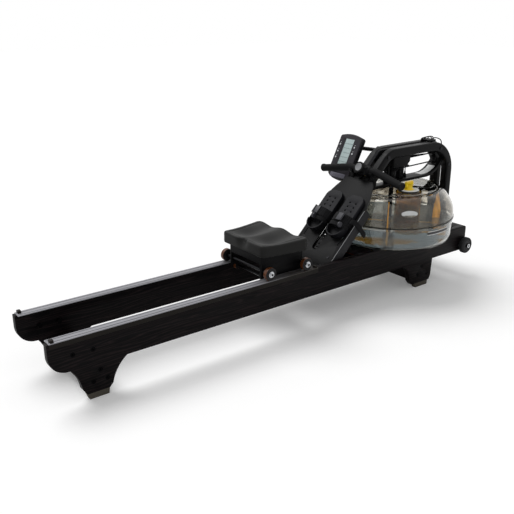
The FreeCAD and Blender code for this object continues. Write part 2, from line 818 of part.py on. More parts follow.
def belt_drum():
    """Flanged drum for the belt with the bungee's spool below it, loose on the shaft."""
    low, high = drum_z
    body = rod(tank_x, 0, low, drum_r, high - low, "z")
    for z in (low, high - drum_flange):
        body = body.fuse(rod(tank_x, 0, z, drum_r + 5, drum_flange, "z"))
    spool = rod(tank_x, 0, low - spool_height, spool_r, spool_height + 0.5, "z")
    lip = rod(tank_x, 0, low - spool_height, spool_r + 6, drum_flange, "z")
    solid = body.fuse([spool, lip])
    bore = rod(tank_x, 0, low - spool_height - 2, shaft_r + run_gap, high - low + spool_height + 12, "z")
    return solid.cut(bore).removeSplitter()


def tangent(radius, distance):
    """Angle from the line of centres to the point where a tangent leaves the circle."""
    return math.acos(radius / distance)


def drive_belt():
    """Belt from the drum, turned flat on its way to the rear pulley, over both pulleys to the handle."""
    t = belt_thickness
    w = belt_width / 2
    gap = seat_gap
    r_mid = drum_r + gap + t / 2
    middle = (drum_z[0] + drum_z[1]) / 2
    wrap = ring(tank_x, 0, middle - w, drum_r + gap, drum_r + gap + t, belt_width)
    rear_x, rear_z = rear_pulley
    angle = tangent(r_mid, rear_x - tank_x)
    leave = V(tank_x + r_mid * math.cos(angle), r_mid * math.sin(angle), middle)
    arrive = V(rear_x - pulley_r - pulley_flange - 6, 0, rear_z - pulley_r - gap - t / 2)
    run = arrive - leave
    flat = V(run.x, run.y, 0).normalize()
    sections = []
    steps = 6
    for index in range(steps + 1):
        share = index / steps
        turn = share * math.pi / 2
        side = V(-flat.y, flat.x, 0)
        up = V(0, 0, 1)
        wide = up * math.cos(turn) + side * math.sin(turn)
        thin = side * math.cos(turn) - up * math.sin(turn)
        if index == steps:
            wide, thin = V(0, 1, 0), V(0, 0, -1)
        centre = leave + run * share
        corners = [centre + wide * w + thin * t / 2, centre - wide * w + thin * t / 2,
                   centre - wide * w - thin * t / 2, centre + wide * w - thin * t / 2]
        sections.append(Part.makePolygon(corners + corners[:1]))
    twisted = Part.makeLoft(sections, True, True)
    level = box((arrive.x, rear_x), (-w, w), (arrive.z - t / 2, arrive.z + t / 2))
    rear_bend = ring(rear_x, 0, rear_z, pulley_r + gap, pulley_r + gap + t, belt_width, "y")
    rear_bend = rear_bend.common(box((rear_x, rear_x + 60), (-20, 20), (rear_z - 60, rear_z + 60)))
    front_x, front_z = front_pulley
    top = box((front_x, rear_x), (-w, w), (rear_z + pulley_r + gap, rear_z + pulley_r + gap + t))
    lead_angle, lead_start, lead_end = belt_lead()
    front_bend = ring(front_x, 0, front_z, pulley_r + gap, pulley_r + gap + t, belt_width, "y")
    fan = slab([at(front_x, front_z), at(front_x, front_z + 60),
                at(front_x - 60, front_z + 60),
                at(front_x + 60 * math.cos(lead_angle), front_z + 60 * math.sin(lead_angle))], (-20, 20))
    front_bend = front_bend.common(fan)
    along_lead = (lead_end - lead_start).normalize()
    across = V(-along_lead.z, 0, along_lead.x) * (t / 2)
    lead = slab([lead_start + across, lead_end + across, lead_end - across, lead_start - across], (-w, w))
    return wrap.fuse([twisted, level, rear_bend, top, front_bend, lead]).removeSplitter()


hub_back = handle_x + 25.0
belt_anchor_z = handle_z + 8.0


def belt_lead():
    """Angle on the front pulley where the belt leaves it, and the two ends of the lead to the handle."""
    front_x, front_z = front_pulley
    r_mid = pulley_r + seat_gap + belt_thickness / 2
    end = at(hub_back + seat_gap + belt_thickness / 2, belt_anchor_z)
    away = end - at(front_x, front_z)
    angle = math.atan2(away.z, away.x) - tangent(r_mid, away.Length)
    start = at(front_x + r_mid * math.cos(angle), front_z + r_mid * math.sin(angle))
    return angle, start, end


def bungee_cord():
    """Elastic cord: round the spool, back to the pulley between the rear legs and down to its pin."""
    r_spool = spool_r + seat_gap + cord_r
    r_pulley = cord_pulley_r + seat_gap + cord_r
    px, pz = cord_pulley
    angle = tangent(r_spool, px - tank_x)
    z = pz + r_pulley
    def on_spool(turn):
        return V(tank_x + r_spool * math.cos(turn), r_spool * math.sin(turn), z)
    start, half_way, leave = on_spool(-angle - math.pi), on_spool(-angle - math.pi / 2), on_spool(-angle)
    top = V(px, 0, z)
    shoulder = V(px + r_pulley * math.sqrt(0.5), 0, pz + r_pulley * math.sqrt(0.5))
    edge = V(px + r_pulley, 0, pz)
    end = V(px + r_pulley, 0, cord_end)
    flat = sweep_round([Part.Arc(start, half_way, leave).toShape(), Part.makeLine(leave, top)], cord_r)
    down = sweep_round([Part.Arc(top, shoulder, edge).toShape(), Part.makeLine(edge, end)], cord_r)
    joint = Part.makeSphere(cord_r, top)
    return flat.fuse([down, joint]).removeSplitter()


# ---------------------------------------------------------------- handle

def sweep_round(edges, radius):
    first = edges[0]
    start = first.valueAt(first.FirstParameter)
    section = Part.Wire([Part.makeCircle(radius, start, first.tangentAt(first.FirstParameter))])
    return Part.Wire(edges).makePipeShell([section], True, True, 0)


def tube_along(points, radius, bend):
    """A round bar through the points with round bends."""
    edges = []
    here = points[0]
    for before, corner, after in zip(points, points[1:], points[2:]):
        a = (before - corner).normalize()
        b = (after - corner).normalize()
        half = math.acos(max(-1.0, min(1.0, a.dot(b)))) / 2
        reach = bend / math.tan(half)
        first, last = corner + a * reach, corner + b * reach
        middle_dir = (a + b).normalize()
        centre = corner + middle_dir * (bend / math.sin(half))
        edges.append(Part.makeLine(here, first))
        edges.append(Part.Arc(first, centre - middle_dir * bend, last).toShape())
        here = last
    edges.append(Part.makeLine(here, points[-1]))
    return sweep_round(edges, radius)


def handle_points():
    return [V(handle_end[0], -handle_half, handle_end[1]), V(handle_x, -handle_centre, handle_z),
            V(handle_x, handle_centre, handle_z), V(handle_end[0], handle_half, handle_end[1])]


def handle_bar():
    points = handle_points()
    for index, inner in ((0, 1), (3, 2)):
        points[index] = points[index] + (points[inner] - points[index]).normalize() * 4.0
    return tube_along(points, bar_r, 90.0)


hub_half = 42.0


def handle_grips():
    """Foam sleeves on both arms, closed at the ends."""
    grips = []
    for side in (-1, 1):
        points = [V(p.x, p.y, p.z) for p in handle_points()]
        if side > 0:
            points.reverse()
        start = V(handle_x, side * (hub_half + 0.5), handle_z)
        path = [points[0], points[1], start]
        sleeve = tube_along(path, grip_r, 90.0)
        grips.append(sleeve.cut(handle_bar()))
    return grips


hub_r = grip_r + 3.0
badge_r = 25.0
badge_reach = 36.0
badge_rise = 29.0           # degrees above level


def handle_hub():
    """Sleeve on the middle of the bar, with a round boss facing the rower and a lug for the belt's end."""
    sleeve = rod(handle_x, 0, handle_z, hub_r, 2 * hub_half)
    sleeve = soften(sleeve, 3.0, lambda e: e.BoundBox.YLength < 1e-3)
    rise = math.radians(badge_rise)
    facing = V(-math.cos(rise), 0, math.sin(rise))
    boss = Part.makeCylinder(badge_r, badge_reach, V(handle_x, 0, handle_z), facing)
    boss = soften(boss, 2.0, lambda e: abs(V(e.CenterOfMass.x - handle_x, 0, e.CenterOfMass.z - handle_z).Length
                                           - badge_reach) < 1e-3)
    shoulder = box((handle_x - 24, handle_x + 14), (-badge_r - 9, badge_r + 9), (handle_z - 16, handle_z + 20))
    shoulder = soften(shoulder, 5.0, lambda e: True)
    lug = box((handle_x, hub_back), (-belt_width / 2 - 1.5, belt_width / 2 + 1.5),
              (belt_anchor_z - 6, belt_anchor_z + 6))
    return sleeve.fuse([boss, shoulder, lug]).cut(handle_bar()).removeSplitter()


# ---------------------------------------------------------------- seat

def seat_pad():
    """Plain cushion body: narrower at the back, round corners."""
    (x0, x1), (h0, h1) = pad_x, pad_half
    solid = plate([V(x0, -h0, 0), V(x1, -h1, 0), V(x1, h1, 0), V(x0, h0, 0)], pad_z)
    solid = soften(solid, pad_corner, lambda e: along(e, V(0, 0, 1)))
    return soften(solid, pad_round, lambda e: abs(e.BoundBox.ZMin - pad_z[1]) < 1e-4)


def axle_places():
    return [(x, rail_top + seat_gap + roller_r) for x in roller_x]


def guide_place():
    return guide_x, rail_top - cap_thickness - seat_gap - guide_r


def seat_carriage():
    """Pressed channel under the seat, open below, in front and behind, with lugs for the guide axle."""
    wall = carriage_wall
    shell = box(carriage_x, (-carriage_half, carriage_half), carriage_z)
    shell = soften(shell, 8.0, lambda e: along(e, V(0, 0, 1)))
    inside = box((carriage_x[0] + wall, carriage_x[1] - wall), (-carriage_half + wall, carriage_half - wall),
                 (carriage_z[0] - 1, carriage_z[1] - wall))
    shell = shell.cut(inside)
    ends = box((carriage_x[0] - 1, carriage_x[1] + 1), (-carriage_half + 12, carriage_half - 12),
               (carriage_z[0] - 1, carriage_z[1] - carriage_lip))
    shell = shell.cut(ends)
    gx, gz = guide_place()
    for side in (-1, 1):
        y = (carriage_half - wall, carriage_half) if side > 0 else (-carriage_half, -carriage_half + wall)
        shell = shell.fuse(box((gx - lug[0], gx + lug[0]), y, (gz - lug[1], carriage_z[0] + 2)))
    tray = box((pad_x[0] + 22, pad_x[1] - 22), (-pad_half[0] + 20, pad_half[0] - 20), (carriage_z[1], pad_z[0]))
    shell = shell.fuse(tray).removeSplitter()
    for x, z in axle_places():
        shell = shell.cut(rod(x, 0, z, axle_r, 300))
    return shell.cut(rod(gx, 0, gz, axle_r - 1, 300))


def seat_axles():
    """Two roller axles with washers and bolt heads, and the lower guide axle."""
    axles = []
    for x, z in axle_places():
        axle = rod(x, 0, z, axle_r, 2 * (roller_y[1] + 4))
        for side in (-1, 1):
            axle = axle.fuse([rod(x, side * (roller_y[1] + 1.5), z, 12.0, 2.0),
                              rod(x, side * (roller_y[1] + 5.0), z, 8.0, 5.0),
                              rod(x, side * (roller_y[0] - 1.5), z, 10.0, 2.0)])
            axle = axle.cut(rod(x, side * (roller_y[1] + 7.5), z, 3.2, 6.0))
        axles.append(axle)
    gx, gz = guide_place()
    axles.append(rod(gx, 0, gz, axle_r - 1, 2 * (guide_y[1] + 1.5)))
    return axles


def rollers(x, z, radius, y, bore):
    solids = []
    for side in (-1, 1):
        middle = side * (y[0] + y[1]) / 2
        solid = ring(x, middle, z, bore + run_gap, radius, y[1] - y[0], "y")
        solids.append(soften(solid, 1.5, lambda e: abs(e.BoundBox.ZLength - 2 * radius) < 0.5))
    return solids


# ---------------------------------------------------------------- transport wheels

def transport_wheel(side):
    y = side * (rail_inner + rail_thickness + 2.0 + wheel_width / 2)
    tyre = ring(wheel_x, y, wheel_z, axle_r + run_gap, wheel_r, wheel_width, "y")
    return soften(tyre, 6.0, lambda e: abs(e.BoundBox.ZLength - 2 * wheel_r) < 0.5)


def wheel_bolt(side):
    """Stepped bolt: shank through the rail, journal for the wheel, washer and head outside."""
    face = rail_inner + rail_thickness
    parts = [
        rod(wheel_x, side * (rail_inner - 4 + (face + 10 - rail_inner + 4) / 2), wheel_z, bolt_r,
            face + 10 - rail_inner + 4),
        rod(wheel_x, side * (face + (wheel_width + 3.6) / 2), wheel_z, axle_r, wheel_width + 3.6),
        rod(wheel_x, side * (face + wheel_width + 3.4), wheel_z, 13.0, 2.2),
        rod(wheel_x, side * (face + wheel_width + 6.5), wheel_z, 8.0, 4.0),
        rod(wheel_x, side * (face + 0.9), wheel_z, 10.0, 1.8),
        rod(wheel_x, side * (rail_inner - 3.0), wheel_z, 8.0, 6.0),
    ]
    solid = parts[0].fuse(parts[1:])
    return solid.cut(rod(wheel_x, side * (face + wheel_width + 8.5), wheel_z, 3.4, 6.0))


# ---------------------------------------------------------------- console

def on_console(solid):
    """Moves a solid drawn with X across, Y up the screen and Z towards the rower to its place."""
    placed = solid.copy()
    placed.rotate(V(0, 0, 0), V(0, 0, 1), -90)
    placed.rotate(V(0, 0, 0), V(0, 1, 0), -(90 - console_tilt))
    placed.translate(V(*console_centre))
    return placed


console_hinge_n = -(console_depth + 8.0)
knuckle_half = 15.0
knuckle_r = 9.0
tilt_pin_r = 4.0
boom_r = 9.0
boom_bend = 28.0
cheek_r = 7.0
cheek_wall = 5.0
console_arch = 8.0          # rise of the top edge from its ends to its middle
console_dip = 24.0          # and fall of the bottom edge
console_corner = 10.0
key_columns = (-50.0, 41.5)
key_rows = ((54.0, 21.0, -7.5), (48.5, 19.0))


def console_outline(inset):
    """Panel with round corners, arched at the top and more deeply at the bottom."""
    w, h = console_width / 2 - inset, console_height / 2 - inset
    r = console_corner
    top, low = h - console_arch, -h + console_dip
    near = r * 0.3
    return [
        V(-w, low + r, 0), V(-w, top - r, 0), (V(-w + near, top - near, 0), V(-w + r, top, 0)),
        (V(0, h, 0), V(w - r, top, 0)), (V(w - near, top - near, 0), V(w, top - r, 0)), V(w, low + r, 0),
        (V(w - near, low - 1, 0), V(w - r, low - r + 2, 0)), (V(0, -h, 0), V(-w + r, low - r + 2, 0)),
        (V(-w + near, low - 1, 0), V(-w, low + r, 0)),
    ]


def button_places():
    return [(x, y) for x, rows in zip(key_columns, key_rows) for y in rows]


def console_back():
    wall = 3.0
    solid = plate(console_outline(0), (-console_depth, -front_depth))
    solid = soften(solid, 9.0, lambda e: abs(e.BoundBox.ZMax + console_depth) < 1e-4)
    inside = plate(console_outline(wall + 1), (-console_depth + wall, 1))
    solid = solid.cut(inside)
    half, r = knuckle_half, knuckle_r
    knuckle = rod(-half, 0, console_hinge_n, r, 2 * half, "x")
    web = box((-half, half), (-r, r), (console_hinge_n, -console_depth + 1))
    solid = solid.fuse([knuckle, web]).removeSplitter()
    bore = rod(-half - 5, 0, console_hinge_n, tilt_pin_r + run_gap, 2 * half + 10, "x")
    return on_console(solid.cut(bore))


def console_front():
    """Bezel with the screen's window and a bore for each button."""
    solid = plate(console_outline(0), (-front_depth, 0))
    solid = soften(solid, 3.0, lambda e: abs(e.BoundBox.ZMin) < 1e-4 and abs(e.BoundBox.ZMax) < 1e-4)
    x, y = lens_centre
    w, h = lens_size[0] / 2, lens_size[1] / 2
    solid = solid.cut(box((x - w, x + w), (y - h, y + h), (-2.2, 1)))
    for bx, by in button_places():
        solid = solid.cut(rod(bx, by, -front_depth - 1, button_r + 0.25, front_depth + 2, "z"))
    return on_console(solid)


def console_lens():
    x, y = lens_centre
    w, h = lens_size[0] / 2 - 0.2, lens_size[1] / 2 - 0.2
    return on_console(box((x - w, x + w), (y - h, y + h), (-2.2, -0.3)))


def console_button(place):
    x, y = place
    cap = rod(x, y, -front_depth + 2.2, button_r, front_depth - 2.2 + button_rise, "z")
    cap = soften(cap, 1.0, lambda e: abs(e.BoundBox.ZMin - button_rise) < 1e-4)
    flange_ = rod(x, y, -front_depth - 2.6, button_r + 1.0, 2.3, "z")
    neck = rod(x, y, -front_depth - 1, button_r - 1, 5, "z")
    return on_console(cap.fuse([flange_, neck]))


def console_hinge():
    """Place of the tilt pin behind the console."""
    a = math.radians(console_tilt)
    return V(console_centre[0] - math.cos(a) * console_hinge_n, console_centre[1],
             console_centre[2] + math.sin(a) * console_hinge_n)


def console_arm():
    """Tube from the left arm of the arch to a fork that holds the tilt pin."""
    hinge = console_hinge()
    y_face = arm_outer
    boom_z = arch_top - arm_depth / 2
    boom_x = hinge.x + 52.0
    inner = knuckle_half + seat_gap
    outer = inner + cheek_wall
    pin = rod(hinge.x, hinge.y, hinge.z, tilt_pin_r, 2 * (outer + 3))
    cheeks = []
    for side in (-1, 1):
        y = (hinge.y + inner, hinge.y + outer) if side > 0 else (hinge.y - outer, hinge.y - inner)
        eye = rod(hinge.x, (y[0] + y[1]) / 2, hinge.z, cheek_r, y[1] - y[0])
        cheeks.append(eye.fuse(box((hinge.x, hinge.x + 30), y, (hinge.z - cheek_r, hinge.z + cheek_r))))
    bridge = box((hinge.x + 20, hinge.x + 30), (hinge.y - outer, hinge.y + outer),
                 (hinge.z - cheek_r, hinge.z + cheek_r))
    route = [V(boom_x, y_face, boom_z), V(boom_x, hinge.y, boom_z - 8), V(hinge.x + 24, hinge.y, hinge.z)]
    boom = tube_along(route, boom_r, boom_bend)
    foot = rod(boom_x, y_face + 3, boom_z, 17.0, 6.0)
    solid = pin.fuse(cheeks + [bridge, boom, foot])
    inside_arm = box((boom_x - 40, boom_x + 40), (y_face - 20, y_face), (boom_z - 40, boom_z + 40))
    return solid.cut(inside_arm).removeSplitter()


def build():
    os.makedirs("parts", exist_ok=True)
    save("rail_right", rail())
    save("rail_left", mirrored(rail()))
    save("rail_caps", rail_cap(), mirrored(rail_cap()))
    trims = rail_trim()
    save("rail_trims", *(trims + [mirrored(trim) for trim in trims]))
    save("rear_crossbeam", beam(rear_beam))
    save("front_crossbeam", beam(front_beam))
    save("tank_deck", *tank_deck())
    save("arch_foot", arch_foot())
    pads = [foot_pad((rear_leg[0], rear_leg[1])), foot_pad((front_leg[0] + 22, front_leg[1] - 6))]
    save("foot_pads", *(pads + [mirrored(pad) for pad in pads]))
    bolts = [frame_bolt(x, z, (x, z) in nut_bolts) for x, z in bolt_places()]
    save("frame_bolts", *(bolts + [mirrored(bolt) for bolt in bolts] + [wheel_bolt(1), wheel_bolt(-1)]))
    save("footboard", footboard())
    arms = [arm((-arm_outer, -arm_inner)), arm((arm_inner, arm_outer))]
    save("arch_arm_right", arms[0])
    save("arch_arm_left", arms[1])
    save("arch_pins", *[arch_pin(x, z) for x, z in pin_places()])
    save("handle_rest", *handle_rest())
    save("drum_housing", drum_housing())
    save("tank_brace_front", tank_brace_front())
    save("tank_brace_rear", tank_brace_rear())
    save("tank_base", tank_base())
    save("tank_dome", tank_dome())
    save("tank_seals", *tank_seals())
    save("level_chamber", level_chamber())
    save("level_plate", level_plate())
    save("level_dial", level_dial())
    save("shaft_bearings", bearing(tank_floor + tank_wall, 10), bearing(tank_top - 6, 10),
         bearing(drum_z[1] + 1.0, 11))
    save("impeller_shaft", impeller_shaft())
    save("impeller_paddles", impeller_paddles())
    save("belt_drum", belt_drum())
    save("drive_belt", drive_belt())
    save("belt_pulley_front", belt_pulley(front_pulley))
    save("belt_pulley_rear", belt_pulley(rear_pulley))
    save("bungee_pulley", bungee_pulley())
    save("bungee_cord", bungee_cord())
    save("handle_bar", handle_bar())
    save("handle_grips", *handle_grips())
    save("handle_hub", handle_hub())
    save("seat_pad", seat_pad())
    save("seat_carriage", seat_carriage())
    save("seat_axles", *seat_axles())
    for name, (x, z) in zip(("rear", "front"), axle_places()):
        save("seat_rollers_" + name, *rollers(x, z, roller_r, roller_y, axle_r))
    gx, gz = guide_place()
    save("guide_rollers", *rollers(gx, gz, guide_r, guide_y, axle_r - 1))
    save("transport_wheel_left", transport_wheel(1))
    save("transport_wheel_right", transport_wheel(-1))
    save("console_back", console_back())
    save("console_front", console_front())
    save("console_lens", console_lens())
    save("console_arm", console_arm())
    for index, place in enumerate(button_places()):
        save("button_" + str(index + 1), console_button(place))
    for side, name in ((1, "left"), (-1, "right")):
        save("foot_plate_" + name, foot_plate(side))
        save("strap_" + name, strap(side))
        save("buckle_" + name, buckle(side))


build()
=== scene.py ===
import bpy
import bmesh
import json
import math
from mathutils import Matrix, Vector


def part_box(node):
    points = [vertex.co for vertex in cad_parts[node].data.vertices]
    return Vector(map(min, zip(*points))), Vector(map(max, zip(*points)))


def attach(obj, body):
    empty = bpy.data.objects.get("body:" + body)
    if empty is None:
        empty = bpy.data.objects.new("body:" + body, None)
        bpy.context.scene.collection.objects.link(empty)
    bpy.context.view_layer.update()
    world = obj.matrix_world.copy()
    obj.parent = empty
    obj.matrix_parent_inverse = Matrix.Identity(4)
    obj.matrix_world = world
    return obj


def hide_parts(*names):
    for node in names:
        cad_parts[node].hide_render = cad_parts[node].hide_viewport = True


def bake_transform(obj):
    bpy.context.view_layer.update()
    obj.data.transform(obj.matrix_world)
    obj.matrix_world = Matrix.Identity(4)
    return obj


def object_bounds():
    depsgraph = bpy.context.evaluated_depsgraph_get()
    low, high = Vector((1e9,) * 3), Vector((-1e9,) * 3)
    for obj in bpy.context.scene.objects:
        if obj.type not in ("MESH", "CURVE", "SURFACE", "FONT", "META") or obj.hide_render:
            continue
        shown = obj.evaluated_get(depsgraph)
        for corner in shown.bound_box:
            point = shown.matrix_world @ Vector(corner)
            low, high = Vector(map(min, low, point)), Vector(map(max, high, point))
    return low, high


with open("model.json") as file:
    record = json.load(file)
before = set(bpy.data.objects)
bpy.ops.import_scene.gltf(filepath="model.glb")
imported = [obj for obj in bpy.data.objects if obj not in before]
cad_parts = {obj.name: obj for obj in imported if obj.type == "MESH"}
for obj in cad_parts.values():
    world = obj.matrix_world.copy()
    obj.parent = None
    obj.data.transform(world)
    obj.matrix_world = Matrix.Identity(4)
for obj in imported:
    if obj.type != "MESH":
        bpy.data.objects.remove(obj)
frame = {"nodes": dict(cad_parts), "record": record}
cadBox = [list(corner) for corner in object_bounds()]
scene = bpy.context.scene
nodeOf = frame["nodes"]
record = frame["record"]
bodyOf = {node: body for body, nodes in record["behaviour"]["bodies"].items() for node in nodes}
slotOf = {part["node"]: part["material_slot"] for part in record["subparts"]}
mm = 0.001


# what every stage uses

def select(*pieces):
    if bpy.context.object and bpy.context.object.mode != "OBJECT":
        bpy.ops.object.mode_set(mode="OBJECT")
    bpy.ops.object.select_all(action="DESELECT")
    for piece in pieces:
        piece.select_set(True)
    bpy.context.view_layer.objects.active = pieces[0] if pieces else None


def edit(piece):
    select(piece)
    bpy.ops.object.mode_set(mode="EDIT")
    bpy.ops.mesh.select_all(action="SELECT")


def apply(piece, kind, **settings):  # adds one modifier and applies it
    select(piece)
    added = piece.modifiers.new("step", kind)
    for key, value in settings.items():
        setattr(added, key, value)
    bpy.ops.object.modifier_apply(modifier=added.name)


def flatten(piece):  # the object to the origin, its place into the mesh
    select(piece)
    bpy.ops.object.transform_apply(location=True, rotation=True, scale=True)


def smooth(piece, angle=35):
    select(piece)
    bpy.ops.object.shade_smooth_by_angle(angle=math.radians(angle))


def finished(piece, name, body, material, angle=35):
    piece.name = name
    flatten(piece)
    smooth(piece, angle)
    piece.data.materials.clear()
    piece.data.materials.append(material)
    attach(piece, body)
    return piece


def linear(hexColour, alpha=1.0):
    values = [int(hexColour[i:i + 2], 16) / 255 for i in (1, 3, 5)]
    return tuple(v / 12.92 if v <= 0.04045 else ((v + 0.055) / 1.055) ** 2.4 for v in values) + (alpha,)


# stops are a colour ramp's (place, hex colour) pairs
def addNode(tree, kind, values=None, links=None, stops=(), **settings):
    made = tree.nodes.new(kind)
    for key, value in settings.items():
        setattr(made, key, value)
    for key, value in (values or {}).items():
        made.inputs[key].default_value = value
    for key, source in (links or {}).items():
        tree.links.new(source, made.inputs[key])
    if stops:
        while len(made.color_ramp.elements) < len(stops):
            made.color_ramp.elements.new(0.5)
        for element, (place, colour) in zip(made.color_ramp.elements, stops):
            element.position = place
            element.color = linear(colour)
    return made


def newMaterial(name, **values):
    made = bpy.data.materials.new(name)
    made.use_nodes = True
    shader = made.node_tree.nodes["Principled BSDF"]
    for key, value in values.items():
        shader.inputs[key.replace("_", " ")].default_value = value
    return made, made.node_tree, shader


def feed(tree, shader, **sources):  # links each source to the shader's socket of that name
    for key, source in sources.items():
        tree.links.new(source, shader.inputs[key.replace("_", " ")])


# camera, light and floor

studio = {"lens": 48.5, "camera": (-1.685, -2.046, 1.196), "heading": 52.56, "pitch": -19.58,
          "ambient": 0.5, "floorColour": "#f5f5f5", "floorGlow": 0.15}


def makeCamera():
    place = Vector(studio["camera"])
    heading, pitch = math.radians(studio["heading"]), math.radians(studio["pitch"])
    look = Vector((math.cos(heading) * math.cos(pitch), math.sin(heading) * math.cos(pitch), math.sin(pitch)))
    bpy.ops.object.camera_add(location=place, rotation=look.to_track_quat("-Z", "Y").to_euler())
    camera = bpy.context.object
    camera.data.lens = studio["lens"]
    camera.data.sensor_width = 36
    camera.data.clip_end = 60
    scene.camera = camera


def makeWorld():  # white where it is seen, mirrored or seen through, and a level light everywhere else
    world = bpy.data.worlds.new("paleStudio")
    scene.world = world
    world.use_nodes = True
    tree = world.node_tree
    back = tree.nodes["Background"]
    ray = addNode(tree, "ShaderNodeLightPath")
    faced = addNode(tree, "ShaderNodeMath", operation="MAXIMUM",
                    links={0: ray.outputs["Is Camera Ray"], 1: ray.outputs["Is Glossy Ray"]})
    seen = addNode(tree, "ShaderNodeMath", operation="MAXIMUM",
                   links={0: faced.outputs[0], 1: ray.outputs["Is Transmission Ray"]})
    level = addNode(tree, "ShaderNodeMapRange", {"To Min": studio["ambient"], "To Max": 1.0},
                    {"Value": seen.outputs[0]})
    back.inputs["Color"].default_value = (1, 1, 1, 1)
    feed(tree, back, Strength=level.outputs["Result"])


# one broad soft light high on the far side
lamp = {"from": (-0.15, 0.5, 0.85), "spread": 38, "strength": 1.75}


def makeLamp():
    aim = -Vector(lamp["from"])
    bpy.ops.object.light_add(type="SUN", location=(0, 0, 3), rotation=aim.to_track_quat("-Z", "Y").to_euler())
    made = bpy.context.object
    made.name = "softOverhead"
    made.data.angle = math.radians(lamp["spread"])
    made.data.energy = lamp["strength"]


def makeFloor():
    bpy.ops.mesh.primitive_plane_add(size=40, location=(0, 0, cadBox[0][2]))
    floor = bpy.context.object
    floor.name = "paleFloor"
    # matte paint: an even pale ground that keeps the machine's shadow and mirrors nothing
    made, tree, shader = newMaterial("matte painted floor", Base_Color=linear(studio["floorColour"]),
                                     Roughness=0.9, Specular_IOR_Level=0.0, Emission_Color=(1, 1, 1, 1))
    ray = addNode(tree, "ShaderNodeLightPath")
    seen = addNode(tree, "ShaderNodeMath", operation="MAXIMUM",
                   links={0: ray.outputs["Is Camera Ray"], 1: ray.outputs["Is Transmission Ray"]})
    glow = addNode(tree, "ShaderNodeMath", {1: studio["floorGlow"]}, {0: seen.outputs[0]},
                   operation="MULTIPLY")
    feed(tree, shader, Emission_Strength=glow.outputs[0])
    floor.data.materials.append(made)


# materials; every pattern reads Object coordinates, and grits and depths are in millimetres

grain = {
    "ringSpacing": 9.0,  # growth rings as a flat-sawn board shows them
    "drift": 0.055, "driftStretch": (1.0, 14.0, 14.0),
    "poreStretch": (28.0, 900.0, 900.0),  # pores about 1 mm across, drawn coarse enough to show
    "depth": 0.35,
    "stain": [(0.0, "#040304"), (0.28, "#0c090a"), (0.5, "#1b1415"), (0.75, "#2a2122")],
}


def stainedAsh():
    # open-grain ash, brushed, stained near black, satin lacquer: pores run along the board and catch light
    made, tree, shader = newMaterial("stained open-grain ash", Roughness=0.42, Specular_IOR_Level=0.07)
    place = addNode(tree, "ShaderNodeTexCoord").outputs["Object"]
    along = addNode(tree, "ShaderNodeMapping", {"Scale": grain["driftStretch"]}, {"Vector": place})
    drift = addNode(tree, "ShaderNodeTexNoise", {"Scale": 2.6, "Detail": 3.0, "Roughness": 0.5},
                    {"Vector": along.outputs["Vector"]})
    height = addNode(tree, "ShaderNodeSeparateXYZ", links={"Vector": place})
    warp = addNode(tree, "ShaderNodeMath", {1: grain["drift"]}, {0: drift.outputs["Fac"]},
                   operation="MULTIPLY")
    level = addNode(tree, "ShaderNodeMath", links={0: height.outputs["Z"], 1: warp.outputs[0]},
                    operation="ADD")
    turns = addNode(tree, "ShaderNodeMath", {1: math.tau / (grain["ringSpacing"] * mm)},
                    {0: level.outputs[0]}, operation="MULTIPLY")
    rings = addNode(tree, "ShaderNodeMath", links={0: turns.outputs[0]}, operation="SINE")
    fine = addNode(tree, "ShaderNodeMapping", {"Scale": grain["poreStretch"]}, {"Vector": place})
    pores = addNode(tree, "ShaderNodeTexNoise", {"Scale": 1.0, "Detail": 4.0, "Roughness": 0.6},
                    {"Vector": fine.outputs["Vector"]})
    early = addNode(tree, "ShaderNodeMapRange", {"From Min": -0.4, "From Max": 1.0},
                    {"Value": rings.outputs[0]})
    depth = addNode(tree, "ShaderNodeMath", links={0: early.outputs["Result"], 1: pores.outputs["Fac"]},
                    operation="MULTIPLY")
    colour = addNode(tree, "ShaderNodeValToRGB", links={"Fac": depth.outputs[0]}, stops=grain["stain"])
    relief = addNode(tree, "ShaderNodeBump", {"Strength": 0.7, "Distance": grain["depth"] * mm},
                     {"Height": depth.outputs[0]})
    feed(tree, shader, Base_Color=colour.outputs["Color"], Normal=relief.outputs["Normal"])
    return made


def speckled(name, dark, light, grit, depth, **values):
    # a moulded or sprayed skin: fine even texture of the given grit, slightly uneven in tone
    made, tree, shader = newMaterial(name, **values)
    place = addNode(tree, "ShaderNodeTexCoord").outputs["Object"]
    fine = addNode(tree, "ShaderNodeTexNoise", {"Scale": 1 / (grit * mm), "Detail": 2.0}, {"Vector": place})
    broad = addNode(tree, "ShaderNodeTexNoise", {"Scale": 14.0, "Detail": 3.0}, {"Vector": place})
    both = addNode(tree, "ShaderNodeMath", links={0: fine.outputs["Fac"], 1: broad.outputs["Fac"]},
                   operation="ADD")
    tone = addNode(tree, "ShaderNodeMath", {1: 0.5}, {0: both.outputs[0]}, operation="MULTIPLY")
    colour = addNode(tree, "ShaderNodeValToRGB", links={"Fac": tone.outputs[0]},
                     stops=[(0.35, dark), (0.65, light)])
    relief = addNode(tree, "ShaderNodeBump", {"Strength": 0.5, "Distance": depth * mm},
                     {"Height": fine.outputs["Fac"]})
    feed(tree, shader, Base_Color=colour.outputs["Color"], Normal=relief.outputs["Normal"])
    return made


def platedSteel(name, colour, rough):
    # polished plating: clean mirror with faint turning marks
    made, tree, shader = newMaterial(name, Metallic=1.0, Base_Color=linear(colour))
    place = addNode(tree, "ShaderNodeTexCoord").outputs["Object"]
    marks = addNode(tree, "ShaderNodeTexNoise", {"Scale": 900.0, "Detail": 1.0}, {"Vector": place})
    level = addNode(tree, "ShaderNodeMapRange", {"To Min": rough, "To Max": rough + 0.12},
                    {"Value": marks.outputs["Fac"]})
    feed(tree, shader, Roughness=level.outputs["Result"])
    return made


